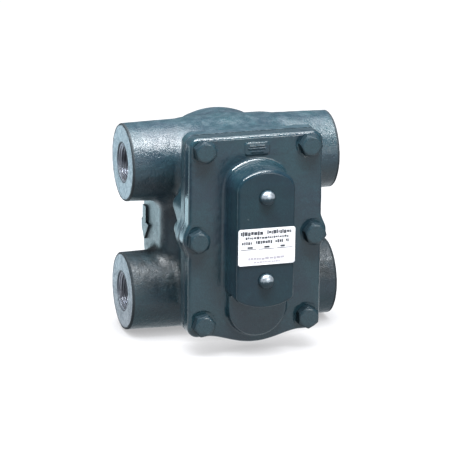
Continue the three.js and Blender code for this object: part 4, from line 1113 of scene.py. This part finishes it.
M = {
    "body": paint_material("paint_body", PAINT_DARK, PAINT_LIGHT, 1.3, machined=True),
    "cover": paint_material("paint_cover", PAINT_DARK, PAINT_LIGHT, 0.55, gloss=(0.11, 0.20)),
    "bolt": paint_material("paint_bolts", PAINT_DARK, PAINT_LIGHT, 0.4, gloss=(0.20, 0.34), shaded_flanks=True),
    "plug_paint": plug_material(),
    "thread": metal_material("cut_iron", (0.33, 0.35, 0.39), (0.20, 0.21, 0.24), (0.35, 0.55), scratch=1.5, stain=(0.09, 0.08, 0.08)),
    "gasket": gasket_material(),
    "label": label_material(),
    "ink": ink_material("ink_dark", (0.012, 0.015, 0.022)),
    "ink_pale": ink_material("ink_pale", (0.30, 0.28, 0.31)),
    "plug": metal_material("plug_steel", (0.42, 0.45, 0.48), (0.30, 0.33, 0.37), (0.14, 0.26), scratch=0.6),
    "steel": metal_material("stainless", (0.52, 0.53, 0.55), (0.44, 0.45, 0.47), (0.24, 0.40)),
    "turned": metal_material("stainless_turned", (0.55, 0.56, 0.58), (0.46, 0.47, 0.49), (0.18, 0.32), lathe=("y", 0.0, (SHIFT[2] + VALVE_Z) / 1000)),
    "vent": metal_material("stainless_vent", (0.55, 0.56, 0.58), (0.46, 0.47, 0.49), (0.18, 0.32), lathe=("y", 0.0, (SHIFT[2] + VENT_Z) / 1000)),
    "ball": metal_material("float_steel", (0.56, 0.57, 0.58), (0.48, 0.47, 0.44), (0.16, 0.30), lathe=("y", 0.0, (SHIFT[2] + FLOAT_Z) / 1000), scratch=0.5, stain=(0.40, 0.30, 0.20)),
    "pin": metal_material("ground_pin", (0.50, 0.51, 0.53), (0.42, 0.43, 0.45), (0.15, 0.25), scratch=0.4),
    "spring": metal_material("spring_steel", (0.46, 0.46, 0.47), (0.33, 0.33, 0.35), (0.20, 0.34)),
    "brass": metal_material("brass", (0.60, 0.42, 0.16), (0.46, 0.30, 0.11), (0.22, 0.36), stain=(0.26, 0.18, 0.08)),
    "copper": metal_material("copper", (0.62, 0.28, 0.16), (0.45, 0.19, 0.11), (0.28, 0.42), stain=(0.22, 0.11, 0.08)),
}

# ------------------------------------------------------------------ pieces
C, V, N = COVER_BACK, VALVE_Z, VENT_Z

body_parts = [part(body_sdf, (-76, -59, -77), (76, 43.5, 79.5), 0.95)]
lining = part(port_thread_sdf, (-0.4, -15, -15), (24.4, 15, 15), 0.36)
for sx in (-1, 1):
    for sz in (-1, 1):
        v, q, nn = lining
        # depth x runs inwards from the face; the right-hand pair is turned, so the thread keeps its hand
        v2 = np.stack([-sx * v[:, 0] + sx * FACE, -sx * v[:, 1], v[:, 2] + sz * PORT_Z], 1)
        n2 = np.stack([-sx * nn[:, 0], -sx * nn[:, 1], nn[:, 2]], 1)
        body_parts.append((v2, q, n2, 1))
make("body", body_parts, nodes=["body_casting"], slot="painted_iron", mats=(M["body"], M["thread"]))
make("cover", [part(cover_sdf, (-52.5, -93.5, -70), (52.5, -57.5, 79.5), 0.62)], nodes=["cover_casting"], slot="cover_iron", mats=(M["cover"],))
make("gasket", [part(gasket_sdf, (-53, -60, -70), (53, -56, 79), (0.6, 0.4, 0.6))], nodes=["cover_gasket"], slot="gasket", mats=(M["gasket"],))

bolt_part = part(bolt_sdf, (-9, -7, -9), (9, 30, 9), 0.27)
for key, (bx, bz, spin) in BOLTS.items():
    make("bolt_" + key, [bolt_part], place=((bx, COVER_FRONT - GAP, bz), spin), nodes=["cover_bolt_" + key], slot="bolt_steel", mats=(M["bolt"],))

# plugs with a domed head and a grooved shank
dome = [(0.0, -4.2)]
for k in range(1, 15):
    a = k / 14 * math.pi / 2
    dome.append((5.35 * math.sin(a) ** 0.98, -0.35 - 3.85 * math.cos(a)))
dome += [(5.4, -0.2), (5.3, 0.0), (2.9, 0.0)]
for k in range(9):
    dome += [(2.9, 0.3 + 0.45 * k), (2.72, 0.42 + 0.45 * k), (2.72, 0.50 + 0.45 * k), (2.9, 0.62 + 0.45 * k)]
dome += [(2.9, 4.3), (2.4, 5.0), (0.0, 5.0)]
for key, pz in (("upper", VENT_Z), ("lower", VALVE_Z)):
    make("plug_" + key, [revolve(dome, segments=96)], place=((0, CH_FRONT - GAP, pz), 0.0), nodes=[key + "_channel_plug"],
         slot="bright_steel", mats=(M["plug_paint"],))

# label: plain film printed with blank bars and rules in place of words
prng = np.random.default_rng(11)
bars = []


def ink_bar(x0, x1, z0, z1, idx):
    y0 = CH_FRONT - GAP - LABEL["thick"] + 0.02
    v = np.array([(x, y, z) for x in (x0, x1) for y in (y0, y0 + 0.1) for z in (z0, z1)], float)
    q = np.array([(0, 1, 3, 2), (4, 6, 7, 5), (0, 4, 5, 1), (2, 3, 7, 6), (0, 2, 6, 4), (1, 5, 7, 3)])
    a, b, c, d = (v[q[:, m]] for m in range(4))
    fn = np.cross(c - a, d - b)
    fn /= np.linalg.norm(fn, axis=1)[:, None]
    bars.append((v, q, np.repeat(fn, 4, 0), idx))


def ink_row(x0, x1, z, height, idx, lo=0.9, hi=2.6, gap=0.5):
    height, gap = height * 1.22, gap * 0.8
    x = x0
    while x < x1 - lo:
        w = min(prng.uniform(lo, hi), x1 - x)
        rise, drop = prng.uniform(-0.22, 0.1) * height, prng.uniform(-0.1, 0.22) * height
        ink_bar(x, x + w, z - height / 2 + drop, z + height / 2 + rise, idx)
        x += w + gap * prng.uniform(0.8, 1.6)


ink_row(-18.4, -2.6, 16.4, 2.3, 1, 0.9, 2.2, 0.34)
ink_row(0.2, 18.4, 16.6, 2.1, 1, 0.8, 2.1, 0.36)
ink_row(-15.0, 15.2, 13.1, 1.35, 1, 0.7, 1.9, 0.45)
ink_row(-17.6, -10.2, 9.7, 1.75, 1, 0.7, 1.8, 0.4)
ink_row(-7.8, 3.8, 9.9, 1.75, 1, 0.7, 1.8, 0.4)
ink_row(6.0, 11.4, 10.1, 1.75, 1, 0.7, 1.8, 0.4)
ink_row(13.4, 15.4, 10.2, 1.75, 1, 0.8, 1.5, 0.4)
for x0, x1 in ((-13.6, -9.8), (-1.8, 2.0), (9.6, 12.8)):
    ink_bar(x0, x1, 5.9, 7.2, 1)
for x0, x1 in ((-18.2, -7.4), (-5.6, 5.4), (7.2, 18.2)):
    ink_bar(x0, x1, 5.0, 5.42, 1)
    ink_bar(x0, x1, 2.2, 2.5, 2)
ink_row(-13.0, 13.4, -1.4, 1.5, 2, 1.2, 2.8, 0.4)
ink_row(-9.0, 9.4, -3.9, 0.9, 2, 0.8, 2.2, 0.4)
make("label", [part(label_sdf, (-21, -94, -7), (21, -91, 20.5), (0.5, 0.12, 0.5))] + bars, nodes=["label_plate"], slot="label_white",
     mats=(M["label"], M["ink"], M["ink_pale"]))

# main valve
make("valve_seat", [part(seat_sdf, (-12, C - 7, V - 12), (12, C + 9, V + 12), 0.33)], nodes=["main_valve_seat"], slot="stainless", mats=(M["turned"],))
make("seat_gasket", [part(seat_gasket_sdf, (-11, C - 1, V - 11), (11, C + 2.4, V + 11), 0.3)], nodes=["main_seat_gasket"], slot="copper", mats=(M["copper"],))
make("valve_head", [part(valve_head_sdf, (-5.5, C + 5, V - 5.5), (5.5, C + 20, V + 5.5), 0.22)], body="main_valve", nodes=["main_valve_head"], slot="stainless", mats=(M["turned"],))
make("link_pin", [part(link_pin_sdf, (-10, PIVOT_Y - 3, V - 3), (10, PIVOT_Y + 3, V + 3), 0.22)], body="main_valve", nodes=["valve_link_pin"], slot="stainless", mats=(M["pin"],))

# float and lever
make("lever", [part(lever_sdf, (-8, PIVOT_Y - 7, V - 8), (8, FACE_Y, FLOAT_Z + 8), 0.36)], body="float_arm", nodes=["float_lever"], slot="stainless", mats=(M["steel"],))
shell = []
for k in range(0, 65):
    a = math.pi * k / 64
    r, t = FLOAT_R * math.sin(a), -FLOAT_R * math.cos(a)
    if abs(t) > 1.35:
        shell.append((max(r, 0.0) if 0 < k < 64 else 0.0, FLOAT_Y + t))
ball_out = []
for r, t in shell:
    if ball_out and ball_out[-1][1] < FLOAT_Y < t:
        for m in range(-6, 7):
            w = m / 6
            ball_out.append((FLOAT_R + 0.33 * math.sqrt(max(0.0, 1 - w * w)) - 0.04 * abs(w), FLOAT_Y + 1.2 * w))
    ball_out.append((r, t))
inner = [((FLOAT_R - 1.2) * math.sin(math.pi * k / 32) if 0 < k < 32 else 0.0, FLOAT_Y + (FLOAT_R - 1.2) * math.cos(math.pi * k / 32)) for k in range(33)]
outer_skin = revolve(ball_out, centre=(0, 0, FLOAT_Z), segments=144)
iv, iq, inn = revolve(inner, centre=(0, 0, FLOAT_Z), segments=64)
make("float_ball_shell", [outer_skin, (iv, iq.reshape(-1, 4)[:, ::-1], -inn.reshape(-1, 4, 3)[:, ::-1].reshape(-1, 3)),
     part(stud_sdf, (-6, FACE_Y - 12, FLOAT_Z - 6), (6, FACE_Y + 3, FLOAT_Z + 6), 0.2)],
     body="float_arm", nodes=["float_ball"], slot="stainless", mats=(M["ball"],))
make("stud_nut", [part(nut_sdf, (-5.5, FACE_Y - 10.5, FLOAT_Z - 5.5), (5.5, FACE_Y - 5, FLOAT_Z + 5.5), 0.18)], body="float_arm", nodes=["float_nut"], slot="brass", mats=(M["brass"],))
make("bracket", [part(bracket_sdf, (-19, C - 1, PIVOT_Z - 7), (19, PIVOT_Y + 7, PIVOT_Z + 20), 0.38)], nodes=["pivot_bracket"], slot="stainless", mats=(M["steel"],))
screw_part = part(bracket_screw_sdf, (-4.5, -7, -4.5), (4.5, 3.5, 4.5), 0.19)
for key, sx, spin in (("left", -1, 0.7), ("right", 1, -0.4)):
    make("screw_" + key, [screw_part], place=((sx * 12.5, C + GAP + 2.2 + GAP, 9.5), spin), nodes=["bracket_screw_" + key], slot="stainless", mats=(M["steel"],))
make("hinge_pin", [part(pivot_pin_sdf, (-13.5, PIVOT_Y - 4, PIVOT_Z - 4), (14.5, PIVOT_Y + 4, PIVOT_Z + 4), 0.22)], nodes=["pivot_pin"], slot="stainless", mats=(M["pin"],))
make("hinge_clip", [part(pivot_clip_sdf, (10.5, PIVOT_Y - 4.5, PIVOT_Z - 4.5), (12.5, PIVOT_Y + 4.5, PIVOT_Z + 4.5), 0.14)], nodes=["pivot_pin_clip"], slot="bright_steel", mats=(M["spring"],))

# air vent
make("air_vent_seat", [part(vent_seat_sdf, (-9, C - 7, N - 9), (9, C + 9, N + 9), 0.28)], nodes=["vent_seat"], slot="stainless", mats=(M["vent"],))
make("cage", [part(cage_sdf, (-20, C - 1, N - 20), (20, C + 24, N + 20), 0.42)], nodes=["vent_cage"], slot="stainless", mats=(M["vent"],))
capsule = [(0, 15.2), (5.0, 15.2), (6.4, 14.95), (7.5, 14.85), (8.6, 14.95), (10.2, 15.75), (11.2, 15.65), (12.0, 15.8), (13.2, 16.15), (16.3, 16.2),
           (16.6, 16.45), (16.6, 16.95), (16.3, 17.2), (13.4, 17.2), (12.6, 18.6), (12.0, 19.7), (10.9, 20.6), (9.6, 20.8), (8.6, 20.4),
           (7.6, 20.05), (6.4, 19.85), (5.0, 20.0), (4.2, 20.6), (3.4, 21.15), (0, 21.2)]
make("capsule", [revolve(capsule, centre=(0, C, N), segments=128)], nodes=["vent_capsule"], slot="bright_steel", mats=(M["vent"],))
make("air_valve", [part(vent_valve_sdf, (-6, C + 9, N - 6), (6, C + 16, N + 6), 0.22)], body="air_vent_valve", nodes=["vent_valve"], slot="stainless", mats=(M["vent"],))
make("spring_clip", [part(clip_sdf, (-18, C + 16, N - 18), (18, C + 20.5, N + 18), 0.28)], nodes=["capsule_clip"], slot="bright_steel", mats=(M["spring"],))

# ------------------------------------------------------------------ floor, light and camera
scene = bpy.context.scene
scene.view_settings.view_transform = "Standard"
scene.view_settings.look = "None"
scene.view_settings.exposure = 0.0


def floor_material():
    """White table that glows instead of being lit: bright behind the casting and in front of it, falling off to the
    left and right, with a painted contact shadow where the camera sees it.
    """
    s = Shader("floor_glow_painted_shadow")
    n = s.noise(3.0, 3.0, 0.5)
    x, y, z = s.xyz()
    y = s.math("ADD", y, 4.0)
    # painted light and shade in the floor's glow onto the casting: a brighter, bluer patch behind it and darker patches
    # to the left and right
    glow = s.math("MULTIPLY", s.span(y, 0.04, 0.26), s.span(x, 0.2, -0.05))
    left = s.math("MULTIPLY", s.span(x, -0.13, -0.20), s.span(y, 0.03, -0.05))
    left = s.math("MULTIPLY", left, s.span(y, -0.42, -0.30))
    right = s.math("MULTIPLY", s.span(x, 0.16, 0.24), s.span(y, -0.22, -0.14))
    side = s.math("SUBTRACT", 1.0, s.math("MULTIPLY", s.math("MAXIMUM", left, right), 0.85))
    seen = s.node("ShaderNodeLightPath").outputs["Is Camera Ray"]
    # painted shadow: ambient occlusion darkens the white the camera sees near the casting
    near = s.node("ShaderNodeAmbientOcclusion", {"Distance": 0.020}, samples=8).outputs["AO"]
    shown = s.span(near, 0.0, 1.0, 0.36, 1.0)
    light = s.math("ADD", s.math("MULTIPLY", side, 1.06), s.math("MULTIPLY", glow, 1.25))
    colour = s.mix(glow, (0.90, 0.96, 1.0), (0.64, 0.90, 1.0))
    s.set(base_color=s.mix(n, (0.05, 0.05, 0.053), (0.06, 0.06, 0.063)), roughness=s.span(n, 0.3, 0.7, 0.6, 0.75),
          specular_ior_level=0.1, emission_color=s.mix(seen, colour, (0.985, 0.985, 1.0)),
          emission_strength=s.node("ShaderNodeMix", {0: seen, 2: light, 3: shown}, data_type="FLOAT").outputs[0])
    return s.mat


bpy.ops.mesh.primitive_plane_add(size=24.0, location=(0, 4.0, -0.0002))
floor = bpy.context.object
floor.name = "floor"
floor.data.materials.append(floor_material())
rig.stage(floor)


def area(name, where, target, size, power, colour=(1, 1, 1)):
    light = bpy.data.lights.new(name, "AREA")
    light.shape = "RECTANGLE"
    light.size, light.size_y = size
    light.energy = power
    light.color = colour
    ob = bpy.data.objects.new(name, light)
    scene.collection.objects.link(ob)
    ob.location = where
    d = Vector(target) - Vector(where)
    ob.rotation_euler = d.to_track_quat("-Z", "Y").to_euler()
    ob.visible_camera = False
    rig.stage(ob)
    return ob


area("overhead", (0.0, 0.09, 1.05), (0.0, 0.0, 0.05), (1.0, 0.56), 19.0, (0.93, 0.97, 1.0))
area("key", (-0.10, -0.25, 0.77), (0.0, 0.0, 0.08), (0.80, 0.13), 27.0, (0.95, 0.98, 1.0))
area("front", (0.75, -1.8, 0.62), (0.0, 0.0, 0.08), (0.6, 0.5), 12.0)

world = bpy.data.worlds.new("studio")
scene.world = world
world.use_nodes = True
wt = world.node_tree
wt.nodes.clear()
w_out = wt.nodes.new("ShaderNodeOutputWorld")
w_mix = wt.nodes.new("ShaderNodeMixShader")
w_cam = wt.nodes.new("ShaderNodeBackground")
w_amb = wt.nodes.new("ShaderNodeBackground")
w_path = wt.nodes.new("ShaderNodeLightPath")
w_cam.inputs[0].default_value = (1, 1, 1, 1)
w_cam.inputs[1].default_value = 1.0
w_amb.inputs[0].default_value = (0.90, 0.94, 1.0, 1)
w_amb.inputs[1].default_value = 0.30
wt.links.new(w_path.outputs["Is Camera Ray"], w_mix.inputs[0])
wt.links.new(w_amb.outputs[0], w_mix.inputs[1])
wt.links.new(w_cam.outputs[0], w_mix.inputs[2])
wt.links.new(w_mix.outputs[0], w_out.inputs[0])

AZ, EL, ROLL, DIST = math.radians(17.55), math.radians(16.01), math.radians(0.63), 2.076
back = Vector((-math.sin(AZ) * math.cos(EL), -math.cos(AZ) * math.cos(EL), math.sin(EL)))
right = (-back).cross(Vector((0, 0, 1))).normalized()
up = right.cross(-back).normalized()
r2 = math.cos(ROLL) * right + math.sin(ROLL) * up
u2 = -math.sin(ROLL) * right + math.cos(ROLL) * up
cam_data = bpy.data.cameras.new("camera")
cam = bpy.data.objects.new("camera", cam_data)
scene.collection.objects.link(cam)
pos = Vector(SHIFT / 1000.0) + back * DIST
cam.matrix_world = Matrix(((r2.x, u2.x, back.x, pos.x), (r2.y, u2.y, back.y, pos.y), (r2.z, u2.z, back.z, pos.z), (0, 0, 0, 1)))
cam_data.sensor_width = 36.0
cam_data.lens = 1.43 * DIST * 1000.0 / 450.0 * 36.0
cam_data.shift_x = -0.22 / 450.0
cam_data.shift_y = -5.9 / 450.0
cam_data.clip_end = 50.0
scene.camera = cam

MODEL_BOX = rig.bounds()
try:
    with open("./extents.json", "w") as handle:
        json.dump({"cad": [list(CAD_BOX[0]), list(CAD_BOX[1])], "model": [list(MODEL_BOX[0]), list(MODEL_BOX[1])]}, handle)
except OSError:
    pass
